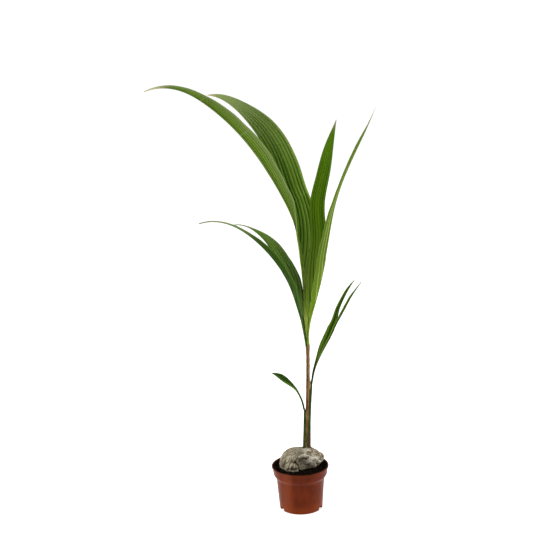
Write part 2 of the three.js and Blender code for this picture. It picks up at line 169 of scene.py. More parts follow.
class NodeSheet:
    """A node tree that is written as expressions."""

    def __init__(self, tree: bpy.types.NodeTree) -> None:
        """Takes an empty tree."""
        self.tree = tree

    def feed(self, socket: bpy.types.NodeSocket, value: Any) -> None:
        """Links a wire to a socket, or sets the socket to a plain value.

        Args:
            socket: the socket.
            value: a wire, a colour, a number or a setting.
        """
        if isinstance(value, Wire):
            self.tree.links.new(value.socket, socket)
        elif socket.type == "RGBA":
            socket.default_value = (*tint(value), 1.0)
        else:
            socket.default_value = value

    def node(self, kind: str, settings: Settings = None, sockets: Settings = None) -> bpy.types.Node:
        """Adds a node.

        Args:
            kind: the node's type.
            settings: its own settings, which are set first.
            sockets: values or wires for its inputs, by name or number.

        Returns:
            The node.
        """
        made = self.tree.nodes.new(kind)
        for key, value in (settings or {}).items():
            setattr(made, key, value)
        for key, value in (sockets or {}).items():
            self.feed(made.inputs[key], value)
        return made

    def wire(self, kind: str, settings: Settings = None, sockets: Settings = None,
             output: Any = 0) -> Wire:
        """Adds a node and takes one of its outputs, by name or number."""
        return Wire(self, self.node(kind, settings, sockets).outputs[output])

    def blend(self, share: Number, low: Any, high: Any) -> Wire:
        """Colour between two colours."""
        return self.wire("ShaderNodeMix", {"data_type": "RGBA"}, {0: share, 6: low, 7: high}, 2)

    def stretch(self, place: Wire, scale: Triple) -> Wire:
        """Place scaled along each axis."""
        return self.wire("ShaderNodeVectorMath", {"operation": "MULTIPLY"}, {0: place, 1: scale})

    def grain(self, place: Wire, scale: float, detail: float = 3.0) -> Wire:
        """Cloudy noise from 0 to 1."""
        sockets = {"Vector": place, "Scale": scale, "Detail": detail}
        return self.wire("ShaderNodeTexNoise", {}, sockets, "Fac")

    def attribute(self, name: str, output: str = "Fac") -> Wire:
        """Value that the mesh carries, in a material."""
        return self.wire("ShaderNodeAttribute", {"attribute_name": name}, {}, output)

    def place(self) -> Wire:
        """Place in the part's own frame, in a material."""
        return self.wire("ShaderNodeTexCoord", {}, {}, "Object")

    def axes(self, place: Wire) -> tuple[Wire, Wire, Wire]:
        """The three numbers of a place."""
        made = self.node("ShaderNodeSeparateXYZ", {}, {0: place})
        return tuple(Wire(self, made.outputs[i]) for i in range(3))

    def join(self, x: Number, y: Number, z: Number) -> Wire:
        """Place from three numbers."""
        return self.wire("ShaderNodeCombineXYZ", {}, {0: x, 1: y, 2: z})

    def carried(self, name: str, data_type: str = "FLOAT") -> Wire:
        """Value that the mesh carries, in Geometry Nodes."""
        return self.wire("GeometryNodeInputNamedAttribute", {"data_type": data_type}, {"Name": name})

    def chance(self, low: float, high: float, seed: Any) -> Wire:
        """Random number between two limits, in Geometry Nodes."""
        limits = {2: low, 3: high, "Seed": seed}
        return self.wire("FunctionNodeRandomValue", {"data_type": "FLOAT"}, limits, 1)


class PaintSheet(NodeSheet):
    """The nodes of a material, with its shader."""

    def __init__(self, material: bpy.types.Material) -> None:
        """Gives a new material its shader.

        Args:
            material: the material.
        """
        material.use_nodes = True
        material.node_tree.nodes.clear()
        super().__init__(material.node_tree)
        self.shader = self.node("ShaderNodeBsdfPrincipled")
        self.node("ShaderNodeOutputMaterial", {}, {"Surface": Wire(self, self.shader.outputs[0])})

    def set(self, name: str, value: Any) -> None:
        """Feeds a socket of the shader."""
        self.feed(self.shader.inputs[name], value)


class Finish:
    """A finish that makes its own material, with a shine and a relief whose depth is in metres."""

    name: str
    shine: float
    RELIEF: float

    def paint(self, sheet: PaintSheet) -> None:
        """Paints the material."""
        raise NotImplementedError

    def material(self) -> bpy.types.Material:
        """Makes the material, once.

        Returns:
            The material.
        """
        made = bpy.data.materials.get(self.name)
        if not made:
            made = bpy.data.materials.new(self.name)
            self.paint(PaintSheet(made))
        return made

    def dress(self, sheet: PaintSheet, colour: Wire, roughness: Number, height: Wire) -> None:
        """Feeds the shader.

        Args:
            sheet: the material's nodes.
            colour: base colour.
            roughness: roughness.
            height: relief, from 0 to 1.
        """
        relief = sheet.wire("ShaderNodeBump", {}, {"Distance": self.RELIEF, "Height": height})
        sheet.set("Base Color", colour)
        sheet.set("Roughness", roughness)
        sheet.set("Specular IOR Level", self.shine)
        sheet.set("Normal", relief)


@dataclass(frozen=True)
class LeafFinish(Finish):
    """One face of a pleated leaf: striped along its ribs, partly with painted shade of the pleats, yellower
    at its base, dry at its tips.

    Fields are the colours of furrows, ridges, base, edge, haze and dry tip; the width of a furrow's line
    as a share of half a pleat; how far up the base colour reaches and where the tip starts to dry, as
    shares of the leaf's length; how hazy the tip and the outer edge are; the roughness and the shine; the
    places of pale creases across it, as shares of its length; and how much painted shade darkens its
    back half.
    """

    name: str
    furrow: Colour
    ridge: Colour
    base: Colour
    edge: Colour = "8f9d4c"
    haze: Colour = "7b8158"
    dry: Colour = "a79d7c"
    line: float = 0.9
    base_share: float = 0.3
    dry_share: float = 0.96
    hazy: float = 0.0
    hazy_edge: float = 0.0
    roughness: float = 0.45
    shine: float = 0.1
    creases: Series = ()
    back_painted_shade: float = 0.0

    RELIEF = 0.0001
    VEINS = 5
    FLAT_PLEAT = (0.0004, 0.0024)
    CREASE = (0.0008, 0.0024)
    DRYING = 0.09

    def paint(self, sheet: PaintSheet) -> None:
        """Paints the material.

        Args:
            sheet: its nodes.
        """
        rib = sheet.attribute("rib")
        run = sheet.attribute("along")
        side = sheet.attribute("across")
        across = abs(side)
        streak = sheet.grain(sheet.join(2.2 * rib, 5 * run, 0), 1.0, 2.0)
        cloud = sheet.grain(sheet.place(), 14.0)
        broad = sheet.attribute("pleat").rise(*self.FLAT_PLEAT)
        veins = (self.VEINS * rib).zigzag()
        number = rib.math("FLOOR", rib)
        own = sheet.wire("ShaderNodeTexWhiteNoise", {"noise_dimensions": "1D"}, {"W": number})
        # Stripes of furrow and ridge colour along the ribs: partly the leaf's own lines, partly painted
        # shade of the pleats.
        pleat = 0.5 + broad * (rib.zigzag().rise(0.0, self.line) - 0.5 + 0.5 * (own - 0.5))
        fleck = 0.5 + broad * (streak - 0.5)
        # The tone rises towards the outer edge: a paler margin, and painted shade near the midrib.
        tone = 0.65 * pleat + 0.4 * fleck + 0.12 * cloud + 0.06 * broad * veins + 0.12 * across - 0.22
        colour = sheet.blend(tone.rise(0.05, 0.8), self.furrow, self.ridge)
        base = 0.75 * (1 - (run + 0.2 * streak).rise(0.05, self.base_share)) * tone.rise(0.0, 0.5)
        colour = sheet.blend(base, colour, self.base)
        colour = sheet.blend(0.6 * across.rise(0.94, 1.0), colour, self.edge)
        # Painted shade darkens the back half.
        colour = sheet.blend(self.back_painted_shade * (1 - side.rise(-0.1, 0.1)), colour, self.furrow)
        colour = sheet.blend(self.hazy * run.rise(0.45, 0.95), colour, self.haze)
        colour = sheet.blend(self.hazy_edge * across.rise(0.35, 0.95), colour, self.haze)
        for crease in self.creases:
            line = 1 - abs(run + 0.012 * across - crease).rise(*self.CREASE)
            colour = sheet.blend(0.5 * line, colour, self.edge)
        dried = (run + 0.05 * streak).rise(self.dry_share, self.dry_share + self.DRYING)
        colour = sheet.blend(dried, colour, self.dry)
        roughness = self.roughness - 0.06 + 0.16 * streak + 0.3 * dried
        self.dress(sheet, colour, roughness, broad * streak)


@dataclass(frozen=True)
class StalkFinish(Finish):
    """A smooth green stalk with fine lines along it, browner below a height."""

    name: str
    green: Colour
    pale: Colour
    brown: Colour = "40321a"
    brown_below: float = 0.0
    roughness: float = 0.45
    shine: float = 0.05

    RELIEF = 0.0002
    BROWN_FADE = 0.06

    def paint(self, sheet: PaintSheet) -> None:
        """Paints the material.

        Args:
            sheet: its nodes.
        """
        place = sheet.place()
        lines = sheet.grain(sheet.stretch(place, (1, 1, 0.04)), 900.0, 2.0)
        cloud = sheet.grain(place, 40.0)
        height = sheet.axes(place)[2]
        colour = sheet.blend((0.6 * lines + 0.4 * cloud).rise(0.3, 0.7), self.green, self.pale)
        low = 1 - (height + 0.05 * cloud).rise(self.brown_below, self.brown_below + self.BROWN_FADE)
        colour = sheet.blend(0.85 * low, colour, self.brown)
        self.dress(sheet, colour, self.roughness + 0.1 * cloud, lines)


@dataclass(frozen=True)
class PlainFinish(Finish):
    """A plain colour with a little unevenness, for many small things of one kind."""

    name: str
    dark: Colour
    light: Colour
    roughness: float = 0.7
    patch: float = 300.0
    shine: float = 0.15

    RELIEF = 0.0003

    def paint(self, sheet: PaintSheet) -> None:
        """Paints the material.

        Args:
            sheet: its nodes.
        """
        cloud = sheet.grain(sheet.place(), self.patch)
        colour = sheet.blend(cloud.rise(0.3, 0.7), self.dark, self.light)
        self.dress(sheet, colour, self.roughness, cloud)


@dataclass(frozen=True)
class FloorFinish(Finish):
    """A pale floor that glows a little, so that it stays as white as the ground behind it."""

    name: str = "pale_floor"
    white: Colour = "f6f6f4"
    glow: float = 0.5
    shine: float = 0.0

    def paint(self, sheet: PaintSheet) -> None:
        """Paints the material.

        Args:
            sheet: its nodes.
        """
        sheet.set("Base Color", self.white)
        sheet.set("Emission Color", self.white)
        sheet.set("Emission Strength", self.glow)
        sheet.set("Specular IOR Level", self.shine)


@dataclass(frozen=True)
class PotFinish(Finish):
    """Terracotta-brown moulded plastic, satin and scuffed, with a painted highlight down its left front,
    paler at its foot from wear and painted bounce light, and near black on its inner wall.
    """

    name: str = "terracotta_plastic"
    clay: Colour = "4c1803"
    warm: Colour = "5f2105"
    scuff_and_highlight: Colour = "74361a"
    pale: Colour = "7c340f"
    inner_wall_dark: Colour = "1d1611"
    inside_radius: float = 0.0905
    inside_height: float = 0.128
    foot_wear_and_bounce_heights: Pair = (0.004, 0.04)
    highlight_band_x: float = 0.045
    highlight_band_reach: Pair = (0.004, 0.022)
    highlight_band_depths: Pair = (-0.03, 0.0)
    shine: float = 0.06

    RELIEF = 0.0001

    def paint(self, sheet: PaintSheet) -> None:
        """Paints the material.

        Args:
            sheet: its nodes.
        """
        place = sheet.place()
        x, y, z = sheet.axes(place)
        radius = (x * x + y * y) ** 0.5
        cloud = sheet.grain(place, 22.0, 4.0)
        flow = sheet.grain(sheet.stretch(place, (1, 1, 0.15)), 160.0, 3.0)
        peel = sheet.grain(place, 1400.0, 1.0)
        marks = sheet.grain(sheet.stretch(place, (1, 1, 6)), 90.0, 6.0).rise(0.62, 0.75)
        colour = sheet.blend((0.7 * cloud + 0.3 * flow).rise(0.3, 0.7), self.clay, self.warm)
        # Paler towards the foot: partly wear, partly painted bounce light from the floor.
        colour = sheet.blend(0.55 * (1 - z.rise(*self.foot_wear_and_bounce_heights)), colour, self.pale)
        # A pale band down the left front of the wall is a painted highlight.
        highlight_band = 1 - abs(x + self.highlight_band_x).rise(*self.highlight_band_reach)
        highlight_band = highlight_band * (1 - y.rise(*self.highlight_band_depths))
        colour = sheet.blend(0.6 * highlight_band * (0.5 + 0.5 * flow), colour, self.scuff_and_highlight)
        colour = sheet.blend(0.25 * marks, colour, self.scuff_and_highlight)
        # The inner wall above the peat is darkened to near black.
        inner = 1 - (radius + 0.001 * cloud).rise(self.inside_radius, self.inside_radius + 0.0015)
        inner_wall_darkened = inner * z.rise(self.inside_height, self.inside_height + 0.001)
        colour = sheet.blend(0.95 * inner_wall_darkened, colour, self.inner_wall_dark)
        roughness = 0.26 + 0.1 * cloud + 0.1 * flow + 0.2 * marks + 0.4 * inner_wall_darkened
        self.dress(sheet, colour, roughness, peel * 0.5 + flow * 0.5)


@dataclass(frozen=True)
class PeatFinish(Finish):
    """Moist black peat with browner crumbs and a few pale fibres in it."""

    name: str = "moist_peat"
    black: Colour = "040301"
    brown: Colour = "150d07"
    fibre: Colour = "261b10"
    shine: float = 0.1

    RELIEF = 0.002

    def paint(self, sheet: PaintSheet) -> None:
        """Paints the material.

        Args:
            sheet: its nodes.
        """
        place = sheet.place()
        crumbs = sheet.grain(place, 190.0, 5.0)
        cloud = sheet.grain(place, 45.0)
        threads = sheet.grain(sheet.stretch(place, (1, 0.2, 1)), 900.0, 2.0).rise(0.66, 0.74)
        colour = sheet.blend((0.7 * crumbs + 0.3 * cloud).rise(0.4, 0.75), self.black, self.brown)
        colour = sheet.blend(0.5 * threads, colour, self.fibre)
        self.dress(sheet, colour, 0.95 - 0.25 * cloud, crumbs)


@dataclass(frozen=True)
class HuskFinish(Finish):
    """Weathered husk: grey-tan fibres along the nut, painted shade in its folds, creases and hollows,
    bleaching where it wore, and a painted highlight on the ridge's lip.
    """

    name: str = "weathered_husk"
    tan: Colour = "584d38"
    grey: Colour = "aca38d"
    fold: Colour = "291f13"
    bleach_and_highlight: Colour = "cec9ba"
    mould: Colour = "67614f"
    shine: float = 0.12

    RELIEF = 0.0012

    def paint(self, sheet: PaintSheet) -> None:
        """Paints the material.

        Args:
            sheet: its nodes.
        """
        lay = sheet.attribute("lay", "Vector")
        fibres = sheet.grain(lay, 190.0, 5.0)
        strands = sheet.grain(lay, 900.0, 2.0)
        cloud = sheet.grain(sheet.place(), 34.0, 4.0)
        folds = sheet.attribute("fold")
        worn = sheet.attribute("worn")
        tone = 0.6 * fibres + 0.2 * strands + 0.2 * cloud
        colour = sheet.blend(tone.rise(0.4, 0.58), self.tan, self.grey)
        colour = sheet.blend(0.55 * cloud.rise(0.52, 0.68), colour, self.mould)
        # Bleaching where the husk wore, and a painted highlight along the ridge's lip.
        colour = sheet.blend((worn + 0.5 * fibres - 0.25).rise(0.2, 0.9), colour, self.bleach_and_highlight)
        colour = sheet.blend(0.75 * (1 - tone.rise(0.34, 0.46)), colour, self.fold)
        # The fold value is painted shade in grooves, creases and hollows and round the flap and the knob.
        colour = sheet.blend(folds.rise(0.05, 1.0), colour, self.fold)
        self.dress(sheet, colour, 0.85 + 0.1 * cloud, 0.6 * fibres + 0.4 * strands)


@dataclass(frozen=True)
class StemFinish(Finish):
    """Dry leaf sheaths: red-brown with tan streaks along them, and a dark scar ring near the foot."""

    name: str = "dry_leaf_sheath"
    brown: Colour = "6a4625"
    dark: Colour = "41270f"
    tan: Colour = "957a4c"
    olive: Colour = "3a3413"
    ring_height: float = 0.232
    top_height: float = 0.552
    dusky_heights: Pair = (0.36, 0.48)
    strip_heights: Pair = (0.26, 0.32)
    strip_place: float = 0.0235
    strip_slope: float = 0.031
    strip_foot: float = 0.185
    shine: float = 0.08

    RELIEF = 0.0007

    def paint(self, sheet: PaintSheet) -> None:
        """Paints the material.

        Args:
            sheet: its nodes.
        """
        place = sheet.place()
        width, _, height = sheet.axes(place)
        streaks = sheet.grain(sheet.stretch(place, (1, 1, 0.03)), 420.0, 4.0)
        threads = sheet.grain(sheet.stretch(place, (1, 1, 0.02)), 1500.0, 2.0)
        cloud = sheet.grain(sheet.stretch(place, (1, 1, 0.4)), 90.0, 4.0)
        colour = sheet.blend((0.6 * streaks + 0.4 * cloud).rise(0.36, 0.58), self.dark, self.brown)
        colour = sheet.blend(0.85 * (0.6 * threads + 0.4 * streaks).rise(0.52, 0.64), colour, self.tan)
        colour = sheet.blend(0.62 * height.rise(*self.dusky_heights), colour, self.dark)
        strip = width - self.strip_place - self.strip_slope * (height - self.strip_foot)
        strip = (strip + 0.004 * streaks).rise(0.003, 0.006) * height.rise(*self.strip_heights)
        colour = sheet.blend(0.5 * strip, colour, self.tan)
        foot = 1 - (height + 0.05 * streaks).rise(self.ring_height, self.ring_height + 0.15)
        colour = sheet.blend(0.8 * foot, colour, self.olive)
        ring = 1 - abs(height + 0.006 * cloud - self.ring_height - 0.003).rise(0.001, 0.006)
        edge = (height + 0.012 * streaks).rise(self.top_height, self.top_height + 0.012)
        colour = sheet.blend(0.8 * ring, colour, self.dark)
        colour = sheet.blend(0.6 * edge, colour, self.dark)
        self.dress(sheet, colour, 0.7 + 0.2 * streaks, 0.6 * threads + 0.4 * streaks)


def soften(mesh: bpy.types.Mesh) -> None:
    """Shades a mesh smoothly."""
    mesh.polygons.foreach_set("use_smooth", [True] * len(mesh.polygons))


def keep_result(piece: Piece, modifier: bpy.types.Modifier) -> None:
    """Keeps what a modifier makes as the piece's plain mesh.

    Args:
        piece: the piece.
        modifier: its modifier, which is removed.
    """
    graph = bpy.context.evaluated_depsgraph_get()
    source = piece.evaluated_get(graph)
    made = bpy.data.meshes.new_from_object(source, preserve_all_data_layers=True, depsgraph=graph)
    piece.modifiers.remove(modifier)
    before = piece.data
    piece.data = made
    bpy.data.meshes.remove(before)


class GeometryTree:
    """A Geometry Nodes tree with named sizes, which ends in realized instances and a material."""

    def __init__(self, name: str) -> None:
        """Starts a tree that takes one geometry and gives one back.

        Args:
            name: the tree's name.
        """
        self.tree = bpy.data.node_groups.new(name, "GeometryNodeTree")
        for side in ("INPUT", "OUTPUT"):
            self.tree.interface.new_socket("Geometry", in_out=side, socket_type="NodeSocketGeometry")
        self.sheet = NodeSheet(self.tree)
        self.entry = self.sheet.node("NodeGroupInput")
        self.geometry = Wire(self.sheet, self.entry.outputs["Geometry"])
        self.sizes: dict[str, str] = {}

    def size(self, name: str, kind: str = "NodeSocketFloat") -> Wire:
        """Adds a named input to the tree and gives its value."""
        self.sizes[name] = self.tree.interface.new_socket(name, in_out="INPUT", socket_type=kind).identifier
        return Wire(self.sheet, self.entry.outputs[name])

    def close(self, geometry: Wire, finish: Finish, under: Optional[Finish] = None) -> None:
        """Ends the tree.

        Args:
            geometry: what the tree has made.
            finish: its finish.
            under: another finish, for faces that carry the value under.
        """
        made = self.sheet.wire("GeometryNodeRealizeInstances", {}, {"Geometry": geometry})
        main = {"Geometry": made, "Material": finish.material()}
        made = self.sheet.wire("GeometryNodeSetMaterial", {}, main)
        if under:
            lower = {"Selection": self.sheet.carried("under", "BOOLEAN"), "Material": under.material()}
            made = self.sheet.wire("GeometryNodeSetMaterial", {}, {"Geometry": made, **lower})
        self.sheet.node("NodeGroupOutput", {}, {"Geometry": made})

    def apply(self, piece: Piece, **sizes: float) -> Piece:
        """Runs the tree on a piece and keeps the result as its plain mesh.

        Args:
            piece: the piece, whose mesh is replaced.
            sizes: values of the tree's named inputs.

        Returns:
            The piece.
        """
        modifier = piece.modifiers.new(self.tree.name, "NODES")
        modifier.node_group = self.tree
        for name, value in sizes.items():
            modifier[self.sizes[name]] = value
        keep_result(piece, modifier)
        return piece


class PleatTree(GeometryTree):
    """Folds a leaf sheet into pleats along its ribs."""

    def __init__(self, finish: Finish, under: Finish) -> None:
        """Builds the tree.

        Args:
            finish: the finish of the leaf's upper face.
            under: the finish of its lower face.
        """
        super().__init__("Leaf pleats")
        depth = self.size("Depth")
        sheet = self.sheet
        lift = (sheet.carried("rib").zigzag() * 2 - 1) * sheet.carried("pleat") * depth
        facing = sheet.carried("facing", "FLOAT_VECTOR")
        offset = sheet.wire("ShaderNodeVectorMath", {"operation": "SCALE"}, {0: facing, "Scale": lift})
        moved = sheet.wire("GeometryNodeSetPosition", {}, {"Geometry": self.geometry, "Offset": offset})
        self.close(moved, finish, under)


class StrandTree(GeometryTree):
    """Turns lines into round tapered strands, as thick as the size that each point carries."""

    def __init__(self, finish: Finish) -> None:
        """Builds the tree.

        Args:
            finish: the strands' finish.
        """
        super().__init__("Strands " + finish.name)
        sides = self.size("Sides", "NodeSocketInt")
        sheet = self.sheet
        lines = sheet.wire("GeometryNodeMeshToCurve", {}, {"Mesh": self.geometry})
        ring = sheet.wire("GeometryNodeCurvePrimitiveCircle", {}, {"Resolution": sides, "Radius": 1.0})
        tube = {"Curve": lines, "Profile Curve": ring, "Scale": sheet.carried("size"), "Fill Caps": True}
        self.close(sheet.wire("GeometryNodeCurveToMesh", {}, tube), finish)


class CrumbTree(GeometryTree):
    """Strews uneven crumbs over the open faces of a bed."""

    def __init__(self, finish: Finish) -> None:
        """Builds the tree.

        Args:
            finish: the crumbs' finish.
        """
        super().__init__("Crumbs " + finish.name)
        density = self.size("Density")
        width = self.size("Width")
        seed = self.size("Seed", "NodeSocketInt")
        sheet = self.sheet
        where = {"Mesh": self.geometry, "Density": density * sheet.carried("open"), "Seed": seed}
        points = sheet.wire("GeometryNodeDistributePointsOnFaces", {}, where)
        ball = sheet.wire("GeometryNodeMeshIcoSphere", {}, {"Radius": 0.5, "Subdivisions": 2})
        place = sheet.wire("GeometryNodeInputPosition")
        cloud = {"Vector": place, "Scale": 2.3, "Detail": 2.0}
        lumps = sheet.wire("ShaderNodeTexNoise", {}, cloud, "Color")
        evened = {0: lumps, 1: (0.5, 0.5, 0.5)}
        offset = sheet.wire("ShaderNodeVectorMath", {"operation": "SUBTRACT"}, evened)
        crumb = sheet.wire("GeometryNodeSetPosition", {}, {"Geometry": ball, "Offset": offset})
        turn = sheet.join(*(sheet.chance(0.0, 2 * math.pi, k) for k in (1, 2, 3)))
        size = width * sheet.chance(0.35, 1.3, 4)
        scale = sheet.join(size, size * sheet.chance(0.6, 1.2, 5), size * sheet.chance(0.5, 0.9, 6))
        rotation = sheet.wire("FunctionNodeEulerToRotation", {}, {"Euler": turn})
        strewn = {"Points": points, "Instance": crumb, "Rotation": rotation, "Scale": scale}
        self.close(sheet.wire("GeometryNodeInstanceOnPoints", {}, strewn), finish)


class FibreTree(GeometryTree):
    """Lays loose fibres on a surface, along the grain that it carries."""

    def __init__(self, finish: Finish) -> None:
        """Builds the tree.

        Args:
            finish: the fibres' finish.
        """
        super().__init__("Fibres " + finish.name)
        density = self.size("Density")
        length = self.size("Length")
        slenderness = self.size("Slenderness")
        bow = self.size("Bow")
        sway = self.size("Sway")
        seed = self.size("Seed", "NodeSocketInt")
        sheet = self.sheet
        where = {"Mesh": self.geometry, "Density": density * sheet.carried("loose"), "Seed": seed}
        spread = sheet.node("GeometryNodeDistributePointsOnFaces", {}, where)
        points, normal = (Wire(sheet, spread.outputs[key]) for key in ("Points", "Normal"))
        ends = {"Resolution": 5, "Start": (-0.5, 0.0, -0.01), "Middle": sheet.join(0.1, 0.06, bow),
                "End": sheet.join(0.5, 0.0, 0.3 * bow)}
        line = sheet.wire("GeometryNodeCurveQuadraticBezier", {}, ends)
        share = sheet.wire("GeometryNodeSplineParameter", {}, {}, "Factor")
        ring = sheet.wire("GeometryNodeCurvePrimitiveCircle", {}, {"Resolution": 3, "Radius": 1.0})
        taper = slenderness * (1.05 - abs(share * 2 - 1))
        tube = {"Curve": line, "Profile Curve": ring, "Scale": taper, "Fill Caps": True}
        fibre = sheet.wire("GeometryNodeCurveToMesh", {}, tube)
        upright = sheet.wire("FunctionNodeAlignRotationToVector", {"axis": "Z"}, {"Vector": normal})
        grain = sheet.carried("grain", "FLOAT_VECTOR")
        lying = sheet.wire("FunctionNodeAlignRotationToVector", {"axis": "X", "pivot_axis": "Z"},
                           {"Rotation": upright, "Vector": grain})
        turn = sheet.join(0.0, 0.0, sway * sheet.chance(-1.0, 1.0, 7))
        swung = sheet.wire("FunctionNodeEulerToRotation", {}, {"Euler": turn})
        turned = sheet.wire("FunctionNodeRotateRotation", {"rotation_space": "LOCAL"},
                            {"Rotation": lying, "Rotate By": swung})
        size = length * sheet.chance(0.4, 1.4, 8)
        scale = sheet.join(size, size, size)
        laid = {"Points": points, "Instance": fibre, "Rotation": turned, "Scale": scale}
        self.close(sheet.wire("GeometryNodeInstanceOnPoints", {}, laid), finish)


@dataclass
class Shape:
    """Points, faces and the values that points and faces carry, before they become a mesh."""

    points: list[Array] = field(default_factory=list)
    faces: list[tuple[int, ...]] = field(default_factory=list)
    values: dict[str, list[Any]] = field(default_factory=dict)
    under: list[bool] = field(default_factory=list)

    def add(self, point: Union[Array, Triple], **values: Any) -> int:
        """Adds a point.

        Args:
            point: its place.
            values: the values that it carries.

        Returns:
            Its number.
        """
        self.points.append(np.asarray(point, float))
        for key, value in values.items():
            self.values.setdefault(key, []).append(value)
        return len(self.points) - 1

    def face(self, *corners: int) -> None:
        """Adds a face, without corners that fall together.

        Args:
            corners: the numbers of its points.
        """
        kept = [c for i, c in enumerate(corners) if c != corners[i - 1]]
        if len(set(kept)) > 2:
            self.faces.append(tuple(dict.fromkeys(kept)))

    def ring(self, radius: float, height: float, count: int, **values: Any) -> list[int]:
        """Adds a level ring of points round the upright axis and gives their numbers."""
        turns = np.linspace(0, 2 * math.pi, count, endpoint=False)
        return [self.add((radius * math.cos(a), radius * math.sin(a), height), **values) for a in turns]

    def loft(self, rings: Sequence[Sequence[int]], caps: bool = True) -> None:
        """Joins closed rings of points one to the next.

        Args:
            rings: the rings.
            caps: whether both ends are closed.
        """
        for low, high in zip(rings, rings[1:]):
            for i in range(len(low)):
                j = (i + 1) % len(low)
                self.face(low[i], low[j], high[j], high[i])
        if caps:
            self.face(*reversed(rings[0]))
            self.face(*rings[-1])

    def volume(self) -> float:
        """Enclosed volume.

        Returns:
            The volume, negative where the faces point inwards.
        """
        total = 0.0
        for corners in self.faces:
            first = self.points[corners[0]]
            for a, b in zip(corners[1:], corners[2:]):
                total += float(np.dot(first, np.cross(self.points[a], self.points[b])))
        return total / 6

    def thicken(self, thickness: Sequence[float]) -> "Shape":
        """A closed leaf of this sheet.

        Args:
            thickness: the leaf's thickness at each point, taken along the value facing.

        Returns:
            The leaf, whose lower faces carry the value under.
        """
        count = len(self.points)
        made = Shape(values={key: [*data, *data] for key, data in self.values.items()})
        for sign in (0.5, -0.5):
            for point, facing, depth in zip(self.points, self.values["facing"], thickness):
                made.points.append(point + sign * depth * np.asarray(facing))
        # An edge that only one face has is on the sheet's rim, and gets a face between the two sides.
        edges = {(a, b) for face in self.faces for a, b in zip(face, (*face[1:], face[0]))}
        made.faces = [*self.faces, *(tuple(count + i for i in reversed(face)) for face in self.faces)]
        made.under = [False] * len(self.faces) + [True] * len(self.faces)
        for a, b in sorted(edges):
            if (b, a) not in edges:
                made.faces.append((b, a, count + a, count + b))
                made.under.append(False)
        return made

    def piece(self, name: str, finish: Optional[Finish] = None, outward: bool = True) -> Piece:
        """Makes a piece of the shape.

        Args:
            name: the piece's name.
            finish: its finish, unless it gets one later.
            outward: whether the faces of a closed shape are turned to point outwards.

        Returns:
            The new piece.
        """
        if outward and self.volume() < 0:
            self.faces = [tuple(reversed(face)) for face in self.faces]
        mesh = bpy.data.meshes.new(name)
        mesh.from_pydata([tuple(point) for point in self.points], [], self.faces)
        soften(mesh)
        for key, data in self.values.items():
            numbers = np.asarray(data, np.float32)
            kind, slot = ("FLOAT_VECTOR", "vector") if numbers.ndim == 2 else ("FLOAT", "value")
            mesh.attributes.new(key, kind, "POINT").data.foreach_set(slot, numbers.ravel())
        if self.under:
            mesh.attributes.new("under", "BOOLEAN", "FACE").data.foreach_set("value", self.under)
        if finish:
            mesh.materials.append(finish.material())
        return link(name, mesh)


def link(name: str, mesh: bpy.types.Mesh) -> Piece:
    """Puts a mesh in the scene.

    Args:
        name: the piece's name.
        mesh: its mesh.

    Returns:
        The piece.
    """
    piece = bpy.data.objects.new(name, mesh)
    bpy.context.scene.collection.objects.link(piece)
    return piece


def strand_piece(name: str, lines: Lines, finish: Finish, sides: int = 4) -> Piece:
    """Makes a piece of thin round strands.

    Args:
        name: the piece's name.
        lines: the points of each strand, with its radius at each.
        finish: their finish.
        sides: the sides of a strand's section.

    Returns:
        The new piece.
    """
    points = [tuple(point) for line in lines for point, _ in line]
    edges = []
    first = 0
    for line in lines:
        edges += [(first + i, first + i + 1) for i in range(len(line) - 1)]
        first += len(line)
    mesh = bpy.data.meshes.new(name)
    mesh.from_pydata(points, edges, [])
    sizes = np.array([size for line in lines for _, size in line], np.float32)
    mesh.attributes.new("size", "FLOAT", "POINT").data.foreach_set("value", sizes)
    piece = StrandTree(finish).apply(link(name, mesh), Sides=sides)
    soften(piece.data)
    return piece


def nearest(tree: BVHTree, place: Array) -> tuple[Array, Array]:
    """Nearest point of a shape to a place, and the direction outwards there."""
    point, outward, _, _ = tree.find_nearest(Vector(place))
    return np.array(point), np.array(outward)


def settle(piece: Piece, slot: str, *nodes: str) -> None:
    """Fixes a finished piece to the part.

    Args:
        piece: the piece.
        slot: not used.
        nodes: the solids that it stands for.
    """
    piece.data.name = piece.name
    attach(piece, BODY)
    if nodes:
        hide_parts(*nodes)
    triangles = sum(len(polygon.vertices) - 2 for polygon in piece.data.polygons)
    LOG.info("%s: %d triangles, for %s", piece.name, triangles, ", ".join(nodes) or "detail")


@dataclass(frozen=True)
class Stop:
    """A stop on a path of growth: its share of the path, its place, and its side and upper directions."""

    share: float
    place: Array
    side: Array
    upper: Array


def growth(lean: float, heading: float) -> Array:
    """Direction of growth for a lean from upright and a heading in plan, in radians."""
    flat = math.sin(lean)
    return np.array((flat * math.cos(heading), flat * math.sin(heading), math.cos(lean)))


def walk(start: Sequence[float], length: float, leans: Sequence[float], headings: Sequence[float],
         shares: Sequence[float], fine: int = 192) -> list[Stop]:
    """Walks a path of growth.

    Args:
        start: where it starts.
        length: how long it is.
        leans: its lean from upright at even stations, in degrees.
        headings: its heading in plan at even stations, in degrees.
        shares: the shares of its length to stop at.
        fine: the even steps that it is walked in.

    Returns:
        A stop for each share.
    """
    even = np.linspace(0, 1, fine + 1)
    path = [np.asarray(start, float)]
    for middle in (even[1:] + even[:-1]) / 2:
        step = growth(math.radians(along(leans, middle)), math.radians(along(headings, middle)))
        path.append(path[-1] + step * length / fine)
    table = np.array(path)
    stops = []
    for share in shares:
        lean, heading = (math.radians(along(values, share)) for values in (leans, headings))
        place = np.array([np.interp(share, even, table[:, k]) for k in range(3)])
        side = np.array((-math.sin(heading), math.cos(heading), 0.0))
        stops.append(Stop(share, place, side, -growth(lean + math.pi / 2, heading)))
    return stops


class Side(Enum):
    """The two halves of a leaf."""

    FRONT = 1
    BACK = -1


